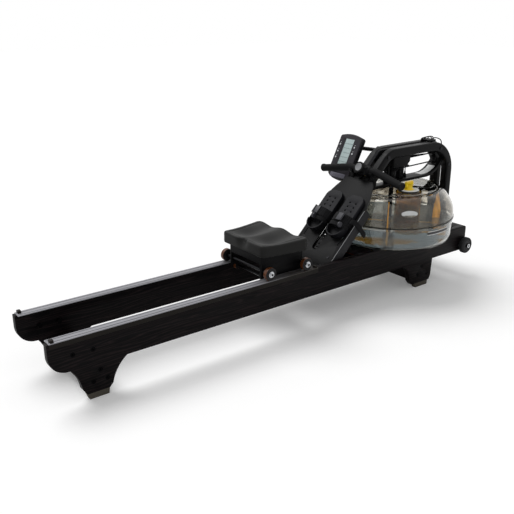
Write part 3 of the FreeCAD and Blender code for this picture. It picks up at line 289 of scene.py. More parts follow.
def clearShell(name, colour, rough=0.03, ior=1.45, clear=1.0):
    # moulded polycarbonate: clear with a tint, a gloss skin and very slight flow waves
    made, tree, shader = newMaterial(name, Base_Color=linear(colour), Roughness=rough, IOR=ior,
                                     Transmission_Weight=clear)
    place = addNode(tree, "ShaderNodeTexCoord").outputs["Object"]
    waves = addNode(tree, "ShaderNodeTexNoise", {"Scale": 9.0, "Detail": 1.0}, {"Vector": place})
    relief = addNode(tree, "ShaderNodeBump", {"Strength": 0.15, "Distance": 0.5 * mm},
                     {"Height": waves.outputs["Fac"]})
    feed(tree, shader, Normal=relief.outputs["Normal"])
    ray = addNode(tree, "ShaderNodeLightPath")  # lamps reach what stands behind it, tinted
    through = addNode(tree, "ShaderNodeBsdfTransparent", {"Color": linear(colour)})
    lit = addNode(tree, "ShaderNodeMixShader", links={
        0: ray.outputs["Is Shadow Ray"], 1: shader.outputs["BSDF"], 2: through.outputs["BSDF"]})
    tree.links.new(lit.outputs[0], tree.nodes["Material Output"].inputs["Surface"])
    return made


def webbing(name, dark, light, pitch):
    # woven tape: ribs across the strip at the pitch, dull thread
    made, tree, shader = newMaterial(name, Roughness=0.8, Specular_IOR_Level=0.1, Sheen_Weight=0.03)
    place = addNode(tree, "ShaderNodeTexCoord").outputs["Object"]
    ribs = addNode(tree, "ShaderNodeTexWave", {"Scale": math.tau / (20 * pitch * mm), "Distortion": 0.6,
                   "Detail": 1.0}, {"Vector": place}, bands_direction="DIAGONAL")
    colour = addNode(tree, "ShaderNodeValToRGB", links={"Fac": ribs.outputs["Fac"]},
                     stops=[(0.2, dark), (0.8, light)])
    relief = addNode(tree, "ShaderNodeBump", {"Strength": 0.6, "Distance": 0.25 * mm},
                     {"Height": ribs.outputs["Fac"]})
    feed(tree, shader, Base_Color=colour.outputs["Color"], Normal=relief.outputs["Normal"])
    return made


running = {
    "brushStretch": (6.0, 700.0, 700.0),  # brushing lines along the rail, drawn coarse
    "plainToneUntil": -0.26, "darkReflectionFrom": -0.06,  # metres along the machine
    # the dark stops are a painted reflection of the seat and wood, laid on the strip forward of the rear end
    "plainTone": [(0.35, "#85858a"), (0.65, "#9b9ba0")], "dark": [(0.35, "#35322f"), (0.65, "#45413d")],
}


def runningStrip():
    # satin aluminium brushed lengthwise: its own pale grey towards the rear end, and further forward a
    # painted dark reflection of the dark seat and wood above it
    made = speckled("satin aluminium running strip", "#85858a", "#98989d", 2.2, 0.02, Roughness=0.45,
                    Metallic=0.2, Specular_IOR_Level=0.2)
    tree = made.node_tree
    place = addNode(tree, "ShaderNodeTexCoord").outputs["Object"]
    along = addNode(tree, "ShaderNodeSeparateXYZ", links={"Vector": place})
    reach = addNode(tree, "ShaderNodeMapRange", {
        "From Min": running["plainToneUntil"], "From Max": running["darkReflectionFrom"]}, {"Value": along.outputs["X"]})
    drawn = addNode(tree, "ShaderNodeMapping", {"Scale": running["brushStretch"]}, {"Vector": place})
    lines = addNode(tree, "ShaderNodeTexNoise", {"Scale": 1.0, "Detail": 2.0},
                    {"Vector": drawn.outputs["Vector"]})
    plainTone = addNode(tree, "ShaderNodeValToRGB", links={"Fac": lines.outputs["Fac"]}, stops=running["plainTone"])
    dark = addNode(tree, "ShaderNodeValToRGB", links={"Fac": lines.outputs["Fac"]}, stops=running["dark"])
    # painted reflection: the strip turns from its own grey to dark brown along the machine
    change = addNode(tree, "ShaderNodeMix", data_type="RGBA", links={
        0: reach.outputs["Result"], 6: plainTone.outputs["Color"], 7: dark.outputs["Color"]})
    feed(tree, tree.nodes["Principled BSDF"], Base_Color=change.outputs[2])
    return made


def domeWithPaintedReflections():
    # the tank's upper half: warm smoky clear, with drawn-out paler and darker streaks in its colour, which
    # are painted reflections of the dark arch and hub around and inside it
    made = clearShell("warm smoke-clear polycarbonate, moulded", "#c6c1b6")
    tree = made.node_tree
    place = addNode(tree, "ShaderNodeTexCoord").outputs["Object"]
    drawn = addNode(tree, "ShaderNodeMapping", {"Scale": (26.0, 26.0, 2.5)}, {"Vector": place})
    streaks = addNode(tree, "ShaderNodeTexNoise", {"Scale": 1.0, "Detail": 2.0},
                      {"Vector": drawn.outputs["Vector"]})
    # painted reflections: paler and darker streaks in the dome's colour
    colour = addNode(tree, "ShaderNodeValToRGB", links={"Fac": streaks.outputs["Fac"]},
                     stops=[(0.38, "#a39d92"), (0.6, "#d8d4ca")])
    feed(tree, tree.nodes["Principled BSDF"], Base_Color=colour.outputs["Color"])
    return made


ash = stainedAsh()
capTop = runningStrip()
# a drawn groove holds shade, so it reads as a darker line along the strip
capGroove = speckled("drawn groove in the strip, dark", "#4c4c50", "#5c5c60", 2.2, 0.02, Roughness=0.5,
                     Specular_IOR_Level=0.1)
# warm black, a little dull, so the trim parts from the wood beside it
trimBlack = speckled("dark moulded side trim", "#110e0b", "#1b1713", 1.2, 0.04, Roughness=0.5,
                     Specular_IOR_Level=0.12)
# deep even black with a satin edge of light
powderCoat = speckled("satin black powder coat on steel", "#040405", "#0a0a0b", 1.2, 0.04, Roughness=0.36,
                      Specular_IOR_Level=0.09)
# a flatter black than the tubes, with the fine orange-peel of a thick coat
boardCoat = speckled("black powder coat on pressed steel", "#060607", "#0c0c0d", 1.4, 0.04, Roughness=0.42,
                     Specular_IOR_Level=0.07)
# matt black from a sparked mould, no clear highlight
nylon = speckled("black moulded nylon, spark-eroded skin", "#060607", "#0d0d0e", 0.9, 0.05, Roughness=0.5,
                 Specular_IOR_Level=0.08)
# dry grey-beige, with no shine at all
padRubber = speckled("grey-beige moulded rubber", "#3f3b34", "#544f47", 1.5, 0.08, Roughness=0.8,
                     Specular_IOR_Level=0.2)
# bright pale metal with soft mirrored edges
boltSteel = platedSteel("zinc-plated steel bolt", "#a9abae", 0.22)
# dark metal that still mirrors the room dimly
blackOxide = platedSteel("black-oxide steel", "#2b2b2d", 0.35)
# near black, with only a faint edge of light
oiledBolt = platedSteel("oiled black bolt steel", "#0d0d0e", 0.5)
# a clean mirror
chrome = platedSteel("chrome-plated steel", "#c9cbce", 0.12)
# almost colourless, with a gloss skin
tankShell = clearShell("clear polycarbonate, moulded", "#dfe0de")
domeShell = domeWithPaintedReflections()
# bends light little, so the thick edge reads as a pale line and not as a black one
rimClear = clearShell("clear polycarbonate rim, thick edge", "#d6d6d2", 0.06, 1.15)
# brownish yellow and slightly hazy
chamberShell = clearShell("pale yellow-brown polycarbonate, moulded", "#bf9a3e", 0.1)
# still and slightly milky, so its level shows through the shell as a blue-grey body
waterFill = clearShell("still water, blue-grey", "#8c999f", 0.0, 1.15, 0.72)
# dull charcoal line between the halves of the tank
gasket = speckled("dark moulded gasket rubber", "#1c1d1f", "#2b2d2f", 1.2, 0.05, Roughness=0.6,
                  Specular_IOR_Level=0.2)
# plain light grey, half gloss
dialPlate = speckled("pale grey moulded plate", "#c2c5c3", "#d9dbd9", 1.0, 0.03, Roughness=0.4)
# strong clean yellow, half gloss
yellowKnob = speckled("yellow moulded knob", "#f0c303", "#ffdd10", 1.0, 0.03, Roughness=0.32)
# warm amber with a painted glow: a weak emission stands in for light caught in the plastic
amberBladePaintedGlow = speckled("amber moulded blade", "#f7ac08", "#ffc21c", 1.0, 0.03, Roughness=0.3,
                      Emission_Color=linear("#f0a808"), Emission_Strength=0.3)
# flat pale film, half gloss
paleSticker = speckled("pale blank vinyl sticker", "#c6c8c7", "#d5d7d6", 1.2, 0.01, Roughness=0.35)
# flat dark film, half gloss
blackSticker = speckled("black blank vinyl sticker", "#151516", "#1e1e20", 1.2, 0.01, Roughness=0.35)
# dull black with fine ribs across it
beltWeb = webbing("black woven belt", "#101012", "#232326", 1.6)
# dull black with a finer rib
cordWeave = webbing("black braided cord jacket", "#0e0e10", "#1f1f22", 1.4)
# soft black with a fine open skin that swallows light
foam = speckled("black closed-cell foam sleeve", "#080809", "#101011", 0.8, 0.12, Roughness=0.65,
                Specular_IOR_Level=0.08)
# black skin of moulded foam: a broad soft sheen over the crowns, with fine grain
seatSkin = speckled("black moulded skin foam", "#0e0e0d", "#161615", 1.1, 0.07, Roughness=0.5,
                    Specular_IOR_Level=0.16, Sheen_Weight=0.03, Sheen_Roughness=0.4)
# dark reddish brown with a wet-looking skin
rollerTyre = speckled("brown cast polyurethane", "#43220f", "#64391c", 1.2, 0.03, Roughness=0.35,
                      Specular_IOR_Level=0.3)
# charcoal, half dull
hubDark = speckled("dark moulded wheel hub", "#151516", "#222224", 1.0, 0.04, Roughness=0.5,
                   Specular_IOR_Level=0.2)
# mid grey, so the hub parts from its tyre
wheelHubGrey = speckled("grey moulded wheel hub", "#3a3a3c", "#4b4b4e", 1.0, 0.04, Roughness=0.5,
                        Specular_IOR_Level=0.3)
# dry dark grey tyre
wheelRubber = speckled("grey-black moulded tyre rubber", "#1d1d1e", "#2d2d2f", 1.4, 0.06, Roughness=0.7,
                       Specular_IOR_Level=0.15)
# cool grey, half dull, with a fine sparked skin
caseGrey = speckled("lavender-grey moulded casing", "#575560", "#6f6d78", 0.9, 0.05, Roughness=0.5,
                    Specular_IOR_Level=0.3)
# plain black, half dull
caseBlack = speckled("black moulded casing back", "#0d0d0f", "#17171a", 0.9, 0.05, Roughness=0.5,
                     Specular_IOR_Level=0.15)
# warm charcoal with a little gloss
bezelBrown = speckled("dark grey-brown moulded bezel", "#19171c", "#262329", 0.9, 0.04, Roughness=0.42,
                      Specular_IOR_Level=0.25)
# pale green-grey behind a glossy window
screen = speckled("pale liquid-crystal screen under a clear window", "#a3b5b4", "#b6c6c5", 2.5, 0.0,
                  Roughness=0.15)
# a deeper tone of the same grey
screenInk = speckled("liquid-crystal row lines", "#5c6c6c", "#6d7d7d", 1.5, 0.0, Roughness=0.2)
# soft dull charcoal
keyRubber = speckled("soft dark key rubber", "#1d1d1f", "#2c2c2f", 0.9, 0.04, Roughness=0.65)
# matt pale ink
keyMark = speckled("pale printed key mark", "#b4b6b9", "#c6c8cb", 1.0, 0.01, Roughness=0.5)
# dark grey with a sparked skin
shoePlastic = speckled("dark grey moulded shoe plastic", "#101013", "#1b1b1f", 1.0, 0.06, Roughness=0.5,
                       Specular_IOR_Level=0.1)
# dull black with coarse ribs across the strap
strapWeb = webbing("black woven webbing", "#0b0b0c", "#1a1a1c", 1.8)
# the same coat in a lighter, duller grey, given to the board's sideways faces as painted light
flangePaintedLight = speckled("powder coat on the board's flange, painted lighter", "#232325", "#303032", 1.4, 0.04,
                       Roughness=0.5, Specular_IOR_Level=0.1)
# a thin line of red-brown ply
deckEdge = speckled("reddish stained plywood edge", "#3b1a10", "#552a1b", 1.6, 0.05, Roughness=0.6,
                    Specular_IOR_Level=0.1)
# dark grey with a small highlight
buckleGrey = speckled("grey moulded buckle", "#2b2b30", "#3b3b41", 0.9, 0.03, Roughness=0.4,
                      Specular_IOR_Level=0.25)
# plain mid grey, half gloss
badgeGrey = speckled("grey blank badge, satin", "#6f7072", "#808184", 0.9, 0.02, Roughness=0.35)
# a painted highlight: a pale line along each side edge of the board, standing in for light on the edge
paintedEdgeHighlight = speckled("painted highlight along the board's edge", "#8d8e90", "#a5a6a8", 1.6, 0.03, Roughness=0.4)
print("materials made")


# CAD nodes: each is copied, merged, given soft edges and its finish

slotFinish = {
    "ash_stained": ash, "cap_metal": capTop, "trim_black": trimBlack, "pad_rubber": padRubber,
    "bolt_steel": boltSteel, "chrome_steel": chrome, "black_steel": boardCoat, "black_coat": powderCoat,
    "black_plastic": nylon, "tank_shell": tankShell, "chamber_shell": chamberShell, "seal_rubber": gasket,
    "dial_plate": dialPlate, "dial_yellow": yellowKnob, "paddle_amber": amberBladePaintedGlow, "belt_web": beltWeb,
    "cord_weave": cordWeave, "grip_foam": foam, "seat_foam": seatSkin, "carriage_plastic": nylon,
    "roller_amber": rollerTyre, "wheel_rubber": wheelRubber, "console_case": caseGrey,
    "console_bezel": bezelBrown, "screen_clear": screen, "button_rubber": keyRubber,
    "shoe_plastic": shoePlastic, "strap_web": strapWeb, "buckle_grey": buckleGrey,
}
softEdge = {  # width of the rounded edge, in millimetres
    "rail_left": 2.5, "rail_right": 2.5, "rear_crossbeam": 1.0, "front_crossbeam": 1.0, "tank_deck": 0.8,
    "arch_foot": 1.2, "rail_caps": 0.6, "rail_trims": 1.0, "foot_pads": 1.5, "footboard": 1.2,
    "handle_rest": 1.0, "drum_housing": 0.8, "tank_brace_front": 1.0, "tank_brace_rear": 1.2,
    "seat_carriage": 0.8, "console_arm": 0.6, "foot_plate_left": 1.0, "foot_plate_right": 1.0,
    "buckle_left": 0.5, "buckle_right": 0.5,
}
otherFinish = {"frame_bolts": oiledBolt, "tank_dome": domeShell, "arch_pins": blackOxide,
               "console_back": caseBlack, "impeller_shaft": blackOxide}
replacedLater = {"seat_pad"}
# merge is in millimetres, flat and corner are in degrees, and steps are the rows of faces round a corner
cleaning = {"merge": 0.01, "flat": 0.6, "corner": 38, "steps": 3}


def dressed(node, angle=35):
    piece = bpy.data.objects.new(node + "_shown", nodeOf[node].data.copy())
    scene.collection.objects.link(piece)
    edit(piece)
    bpy.ops.mesh.remove_doubles(threshold=cleaning["merge"] * mm)
    bpy.ops.mesh.dissolve_limited(angle_limit=math.radians(cleaning["flat"]))
    bpy.ops.object.mode_set(mode="OBJECT")
    width = softEdge.get(node)
    if width:
        apply(piece, "BEVEL", width=width * mm, segments=cleaning["steps"], limit_method="ANGLE",
              angle_limit=math.radians(cleaning["corner"]), use_clamp_overlap=True)
    finish = slotFinish[slotOf[node]]
    finished(piece, node + "Shown", bodyOf[node], finish, angle)
    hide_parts(node)
    return piece


shown = {node: dressed(node) for node in nodeOf if node not in replacedLater}
for node, material in otherFinish.items():
    shown[node].data.materials[0] = material
print("CAD nodes dressed")


# modelling steps

rearEnd = cadBox[0][0]
sideName = {1: "Left", -1: "Right"}


def spot(x, y, z):  # millimetres from the rear end of the rails, the middle of the machine and the floor
    return Vector((rearEnd + x * mm, y * mm, z * mm))


def middleOf(node):
    low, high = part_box(node)
    return Vector([(low[i] + high[i]) / 2 for i in range(3)])


axisTurn = {"x": (0, math.pi / 2, 0), "y": (math.pi / 2, 0, 0), "z": (0, 0, 0)}


def block(centre, size, turn=(0, 0, 0)):  # size in millimetres
    select()
    bpy.ops.mesh.primitive_cube_add(size=1, location=centre, rotation=turn)
    piece = bpy.context.object
    piece.scale = [length * mm for length in size]
    select(piece)
    bpy.ops.object.transform_apply(location=False, rotation=False, scale=True)
    return piece


def drum(centre, radius, depth, axis="y", sides=48):
    select()
    bpy.ops.mesh.primitive_cylinder_add(vertices=sides, radius=radius * mm, depth=depth * mm, location=centre,
                                        rotation=axisTurn[axis])
    return bpy.context.object


def facing(piece, way):  # turns a drum's axis to a direction
    piece.rotation_euler = way.to_track_quat("Z", "Y").to_euler()


def pick(piece, test):  # selects the faces whose middle and normal pass the test, in the piece's own space
    edit(piece)
    bpy.ops.mesh.select_all(action="DESELECT")
    bpy.ops.mesh.select_mode(type="FACE")
    mesh = bmesh.from_edit_mesh(piece.data)
    for face in mesh.faces:
        face.select_set(test(face.calc_center_median(), face.normal))
    mesh.select_flush_mode()
    bmesh.update_edit_mesh(piece.data)


def done():
    bpy.ops.object.mode_set(mode="OBJECT")


def inset(width, depth=0.0):
    bpy.ops.mesh.inset(thickness=width * mm, depth=depth * mm, use_even_offset=True)


def outward(piece):  # every face to look out of the piece
    edit(piece)
    bpy.ops.mesh.normals_make_consistent(inside=False)
    done()


def softened(piece, width, segments=3, angle=35):
    apply(piece, "BEVEL", width=width * mm, segments=segments, limit_method="ANGLE",
          angle_limit=math.radians(angle))


# the profile is (radius, height) in millimetres, closed on itself or on the axis, turned about z
def lathe(profile, centre, steps=72):
    mesh = bpy.data.meshes.new("profile")
    joins = [(i, i + 1) for i in range(len(profile) - 1)]
    mesh.from_pydata([(r * mm, 0, h * mm) for r, h in profile], joins, [])
    piece = bpy.data.objects.new("profile", mesh)
    scene.collection.objects.link(piece)
    edit(piece)
    bpy.ops.mesh.spin(steps=steps, angle=math.tau, center=(0, 0, 0), axis=(0, 0, 1))
    bpy.ops.mesh.select_all(action="SELECT")
    bpy.ops.mesh.remove_doubles(threshold=0.02 * mm)
    bpy.ops.mesh.normals_make_consistent(inside=False)
    done()
    piece.location = centre
    return piece


def tube(points, radius, order=3, closed=False):
    curve = bpy.data.curves.new("route", "CURVE")
    curve.dimensions = "3D"
    line = curve.splines.new("NURBS")
    line.points.add(len(points) - 1)
    for knot, place in zip(line.points, points):
        knot.co = (*place, 1)
    line.order_u = order
    line.use_endpoint_u = not closed
    line.use_cyclic_u = closed
    line.resolution_u = 10
    curve.bevel_depth = radius * mm
    curve.bevel_resolution = 5
    curve.use_fill_caps = not closed
    piece = bpy.data.objects.new("route", curve)
    scene.collection.objects.link(piece)
    select(piece)
    bpy.ops.object.convert(target="MESH")
    return bpy.context.object


def tape(points, across, width, thickness):  # a flat strip through the points, as wide as across shows
    mesh = bpy.data.meshes.new("tape")
    side = across.normalized() * width * mm / 2
    corners = [place + side * way for place in points for way in (-1, 1)]
    mesh.from_pydata(corners, [], [(2 * i, 2 * i + 1, 2 * i + 3, 2 * i + 2) for i in range(len(points) - 1)])
    piece = bpy.data.objects.new("tape", mesh)
    scene.collection.objects.link(piece)
    apply(piece, "SOLIDIFY", thickness=thickness * mm, offset=0)
    outward(piece)
    return piece


def joined(pieces):
    select(*pieces)
    bpy.ops.object.join()
    return bpy.context.object


def recoloured(piece, material, test):  # gives the faces that pass the test a second material
    piece.data.materials.append(material)
    index = len(piece.data.materials) - 1
    for face in piece.data.polygons:
        if test(face.center, face.normal):
            face.material_index = index


def socketScrew(centre, radius, height=2.5):  # upright round head with a sunk socket
    head = drum(centre, radius, height, "z", 32)
    pick(head, lambda c, n: n.z > 0.9)
    inset(radius * 0.45)
    inset(0.2, -height * 0.5)
    done()
    softened(head, 0.4, 2, 50)
    return head


# seat cushion: one moulded skin, a hollow for each side of the sitter and each thigh, and a notch behind

cushion = {
    "voxel": 4.0, "grow": 1.03, "smoothing": 6, "fill": 0.9, "rim": 3.0, "crown": 6.0, "sag": 5.0,
    "hollow": 18.0, "hollowAt": (-0.18, 0.43), "hollowSize": (0.6, 0.30),
    "thigh": 8.0, "thighFrom": -0.1, "thighSide": 0.44, "thighWide": 0.24, "ridge": 3.0, "ridgeWide": 0.2,
    "dip": 5.0, "dipSize": (0.35, 0.22), "notch": 24.0, "notchHalf": 22.0, "notchFrom": 0.55,
    "firm": 0.35,  # share of the height that keeps its shape
    "waist": 1.5, "waistFrom": 0.8, "endFrom": 0.9,
    "rimLine": 1.8, "rimReach": 0.88, "rimWide": 0.018,
    "taper": 27 / 155,  # how much narrower the back is, as a share of the half width
}
moulding = {"points": 64, "squareness": 8, "inward": 0.965, "rise": 2.2, "radius": 2.0}


def bell(distance, width):
    return math.exp(-(distance / width) ** 2)


def cushionLift(u, v):  # rise of the top at u, back to front, and v, side to side, both from -1 to 1
    back, side = cushion["hollowAt"]
    long, wide = cushion["hollowSize"]
    lift = cushion["crown"] - cushion["hollow"] * (bell(u - back, long) * bell(abs(v) - side, wide))
    lift -= (cushion["thigh"] * max(0.0, u - cushion["thighFrom"]) ** 1.4
             * bell(abs(v) - cushion["thighSide"], cushion["thighWide"]))
    lift += cushion["ridge"] * bell(v, cushion["ridgeWide"]) * max(0.0, u) - cushion["rim"]
    lift -= cushion["dip"] * bell(u + 1, cushion["dipSize"][0]) * bell(v, cushion["dipSize"][1])
    lift -= cushion["sag"] * (1 - u * u) * abs(v) ** 4
    return lift + cushion["rim"] * max(abs(u), abs(v)) ** 6


def narrowing(u):
    return 1 + (u - 1) / 2 * cushion["taper"]


def shapeCushion(piece, low, high, centre, half):
    for point in piece.data.vertices:
        u = (point.co.x - centre.x) / half.x
        v = (point.co.y - centre.y) / half.y
        up = min(1.0, max(0.0, (point.co.z - low.z) / (high.z - low.z)))
        point.co.z += cushionLift(u, v) * mm * max(0.0, up - cushion["firm"]) / (1 - cushion["firm"])
        if u < -cushion["notchFrom"]:
            deep = (-u - cushion["notchFrom"]) / (1 - cushion["notchFrom"])
            width = bell((point.co.y - centre.y) / mm, cushion["notchHalf"])
            point.co.x += cushion["notch"] * mm * width * deep * up ** 1.5
        point.co.x = centre.x + (point.co.x - centre.x) * cushion["grow"]
        point.co.y = centre.y + (point.co.y - centre.y) * cushion["grow"]
        pull = cushion["waist"] * mm * math.sin(math.pi * up)
        side = max(0.0, abs(v) - cushion["waistFrom"]) / (1 - cushion["waistFrom"])
        end = max(0.0, (abs(u) - cushion["endFrom"]) / (1 - cushion["endFrom"]))
        point.co.y -= math.copysign(pull * side, v)
        point.co.x -= math.copysign(pull * end, u)


def pressRimLine(piece, centre, half):  # the shallow line pressed just inside the rim
    for point in piece.data.vertices:
        u = (point.co.x - centre.x) / half.x
        reach = max(abs(u), abs((point.co.y - centre.y) / (half.y * narrowing(u))))
        if point.co.z > centre.z:
            point.co.z -= cushion["rimLine"] * mm * bell(reach - cushion["rimReach"], cushion["rimWide"])


def makeCushionMoulding(low, centre, half):
    welt = []
    power = moulding["squareness"]
    for turn in range(moulding["points"]):
        angle = math.tau * turn / moulding["points"]
        c, s = math.cos(angle), math.sin(angle)
        reach = (abs(c) ** power + abs(s) ** power) ** (-1 / power)
        u, v = reach * c * moulding["inward"], reach * s
        across = v * half.y * moulding["inward"] * narrowing(u)
        welt.append(Vector((centre.x + u * half.x, centre.y + across, low.z + moulding["rise"] * mm)))
    tray = tube(welt, moulding["radius"], closed=True)
    finished(tray, "cushionEdgeMoulding", "seat", nylon, 60)


def makeCushion():
    low, high = [Vector(corner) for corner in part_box("seat_pad")]
    centre, half = (low + high) / 2, (high - low) / 2
    piece = bpy.data.objects.new("cushion", nodeOf["seat_pad"].data.copy())
    scene.collection.objects.link(piece)
    edit(piece)
    bpy.ops.mesh.remove_doubles(threshold=cleaning["merge"] * mm)
    done()
    apply(piece, "REMESH", mode="VOXEL", voxel_size=cushion["voxel"] * mm)
    shapeCushion(piece, low, high, centre, half)
    apply(piece, "SMOOTH", factor=0.6, iterations=cushion["smoothing"])
    apply(piece, "SUBSURF", levels=1, render_levels=1)
    outward(piece)
    pressRimLine(piece, centre, half)
    finished(piece, "seatCushion", "seat", seatSkin, 180)
    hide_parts("seat_pad")
    makeCushionMoulding(low, centre, half)


makeCushion()
print("cushion made")


# rollers and wheels: a dark moulded hub in each tyre, with a ring groove and a raised middle

hubs = {"groove": 1.6, "rim": 2.0, "thick": 2.4, "tyre": 4.5, "proud": 0.5, "wheelRadius": 24.0,
        "wheelSunk": 0.2, "tyreSide": 0.75}  # a face that looks this much sideways belongs to the hub
axleRing = {"side": 182.3,
            "profile": [(4.5, 0), (9.5, 0), (9.5, 2.2), (8.6, 3.0), (5.6, 3.0), (4.5, 1.8), (4.5, 0)]}
axleEnd = {"washer": 149, "head": 8.2, "socketSide": 156.9, "socketRadius": 5.2, "socketDepth": 1.2}


def hubFace(name, body, centre, outer, side, finish):
    face = drum(centre, outer, hubs["thick"], "y", 48)
    pick(face, lambda c, n: n.z * -side > 0.9)
    inset(hubs["rim"])
    inset(0.5, -hubs["groove"])
    inset(outer * 0.22)
    inset(0.4, hubs["groove"] * 0.8)
    inset(outer * 0.14)
    done()
    softened(face, 0.35, 2, 50)
    finished(face, name, body, finish, 40)


def makeSeatRollers():
    for place in ("rear", "front"):
        node = "seat_rollers_" + place
        low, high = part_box(node)
        centre = middleOf(node)
        radius = (high[2] - low[2]) / 2 / mm
        recoloured(shown[node], hubDark, lambda c, n: abs(n.y) > hubs["tyreSide"])
        for side in (-1, 1):
            outside = Vector((centre.x, side * high[1] + side * hubs["proud"] * mm, centre.z))
            hubFace("rollerHub" + place.title() + sideName[side], "rollers_" + place, outside,
                    radius - hubs["tyre"], side, hubDark)


def makeTransportWheels():
    for side in (1, -1):
        name = sideName[side]
        node = "transport_wheel_" + name.lower()
        low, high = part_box(node)
        centre = middleOf(node)
        outside = (high if side > 0 else low)[1] - side * hubs["wheelSunk"] * mm
        hubFace("wheelHub" + name, "wheel_" + name.lower(),
                Vector((centre.x, outside, centre.z)), hubs["wheelRadius"], side, wheelHubGrey)
        middle = Vector((centre.x, side * axleRing["side"] * mm, centre.z))
        ring = lathe(axleRing["profile"], middle, steps=40)
        ring.rotation_euler = (-side * math.pi / 2, 0, 0)
        finished(ring, "wheelAxleRing" + name, "frame", chrome, 40)


def makeAxleEnds():  # the washers under the bolt heads stay dark, the heads are bright
    axles = middleOf("seat_rollers_rear"), middleOf("seat_rollers_front")

    def fromAxle(place):
        return min((Vector((place.x, 0, place.z)) - Vector((axle.x, 0, axle.z))).length for axle in axles)

    recoloured(shown["seat_axles"], blackOxide,
               lambda c, n: abs(c.y) < axleEnd["washer"] * mm or fromAxle(c) > axleEnd["head"] * mm)
    for number, axle in enumerate(axles):
        for side in (-1, 1):
            plug = drum(Vector((axle.x, side * axleEnd["socketSide"] * mm, axle.z)), axleEnd["socketRadius"],
                        axleEnd["socketDepth"], "y", 6)
            softened(plug, 0.3, 2)
            finished(plug, "rollerSocket%d%s" % (number, sideName[side]), "seat", blackOxide)


makeSeatRollers()
# painted light: the board's sideways flange faces take a lighter copy of its coat
recoloured(shown["footboard"], flangePaintedLight, lambda c, n: abs(n.y) > 0.8 and abs(c.y) > 100 * mm)
recoloured(shown["guide_rollers"], hubDark, lambda c, n: abs(n.y) > hubs["tyreSide"])
makeTransportWheels()
makeAxleEnds()
print("rollers and wheels detailed")


# tank: water, rim, level marks and blank stickers

water = {"level": 322.0, "gap": 0.4, "floorGap": 0.6, "shell": 5.0, "core": 24.6}
sticker = {"angle": -120.5, "height": 399.0, "wide": 70.0, "tall": 30.0, "radius": 268}
fillStrip = {"angles": (-102.5, -76.0), "low": 300.0, "high": 317.0, "edge": 3, "radius": 280}
film = {"thickness": 0.35, "over": 0.5}
rimBead = {"height": 236,
           "profile": [(262, 0.2), (266, 0.2), (268.5, 2), (268.5, 4), (266, 5.6), (262, 5.6), (262, 0.2)]}
clip = {"angles": (-146.5, -33, 146.5, 33), "radius": 276, "side": 141, "height": 240.2, "size": (46, 17, 5),
        "screwSide": 15, "screwRise": 3.1, "screwRadius": 4.0}
band = {"height": 336, "inner": 276.5, "lip": 280.4, "chamfer": 281.2, "outer": 281.8}
groove = {"middle": 562, "length": 1104, "height": 236.1, "from": (121, 141), "wide": 3.2, "deep": 0.5}
tankAxis = middleOf("impeller_shaft")


def aroundTank(radius, angle, z):
    turn = math.radians(angle)
    return Vector((tankAxis.x + radius * mm * math.cos(turn), radius * mm * math.sin(turn), z * mm))


def onShell(target, piece, offset):  # lays a flat piece on the tank's skin
    apply(piece, "SHRINKWRAP", target=target, wrap_method="NEAREST_SURFACEPOINT", wrap_mode="ABOVE_SURFACE",
          offset=offset * mm)


def filmed(piece, target, over):  # a thin film on the skin of the target
    onShell(target, piece, over)
    apply(piece, "SOLIDIFY", thickness=film["thickness"] * mm, offset=1)
    outward(piece)


def tankPatch(name, target, angles, heights, radius, finish, oval=False, columns=24, rows=10):
    select()
    bpy.ops.mesh.primitive_grid_add(x_subdivisions=columns, y_subdivisions=rows, size=2)
    piece = bpy.context.object
    for point in piece.data.vertices:
        u, v = point.co.x, point.co.y
        if oval:
            u, v = u * math.sqrt(1 - v * v / 2), v * math.sqrt(1 - u * u / 2)
        angle = (angles[0] + angles[1]) / 2 + u * (angles[1] - angles[0]) / 2
        z = (heights[0] + heights[1]) / 2 + v * (heights[1] - heights[0]) / 2
        point.co = aroundTank(radius, angle, z)
    filmed(piece, target, film["over"])
    finished(piece, name, "frame", finish, 60)


def makeWater():
    low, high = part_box("tank_base")
    floor = low[2] / mm + water["shell"] + water["floorGap"]
    wall = (high[1] - low[1]) / 2 / mm - water["shell"] - water["gap"]
    top, core = water["level"], water["core"]
    profile = [(core, floor), (wall - 22, floor), (wall - 12, floor + 2.5), (wall - 6, floor + 9),
               (wall - 3.8, floor + 20), (wall - 1.8, floor + 45), (wall - 0.6, top - 3),
               (wall - 0.2, top + 0.8), (wall - 2.5, top), (core + 1.9, top), (core, top + 0.8),
               (core, floor)]
    piece = lathe(profile, Vector((tankAxis.x, 0, 0)), steps=96)
    finished(piece, "tankWater", "frame", waterFill, 40)


def makeTankMarks():
    angle, height = sticker["angle"], sticker["height"]
    halfWide = math.degrees(sticker["wide"] / sticker["radius"]) / 2
    halfTall = sticker["tall"] / 2
    tankPatch("blankOvalSticker", shown["tank_dome"], (angle - halfWide, angle + halfWide),
              (height - halfTall, height + halfTall), sticker["radius"], paleSticker, oval=True)
    low, high, edge = fillStrip["low"], fillStrip["high"], fillStrip["edge"]
    for name, heights, finish, rows in (("Dark", (low + edge, high - edge), blackSticker, 3),
                                        ("Top", (high - edge, high), paleSticker, 2),
                                        ("Foot", (low, low + edge), paleSticker, 2)):
        tankPatch("levelStrip" + name, shown["tank_base"], fillStrip["angles"], heights, fillStrip["radius"],
                  finish, columns=30, rows=rows)


def makeTankClips():  # clips that hold the tank down on the rails
    for number, angle in enumerate(clip["angles"]):
        place = aroundTank(clip["radius"], angle, clip["height"])
        place.y = math.copysign(clip["side"] * mm, place.y)
        body = block(place, clip["size"])
        softened(body, 1.5)
        pick(body, lambda c, n: n.z > 0.9)
        inset(2.5)
        inset(0.5, -0.8)
        done()
        screws = [socketScrew(place + Vector((way * clip["screwSide"] * mm, 0, clip["screwRise"] * mm)),
                              clip["screwRadius"]) for way in (-1, 1)]
        finished(joined([body] + screws), "tankClip%d" % (number + 1), "frame", nylon, 40)


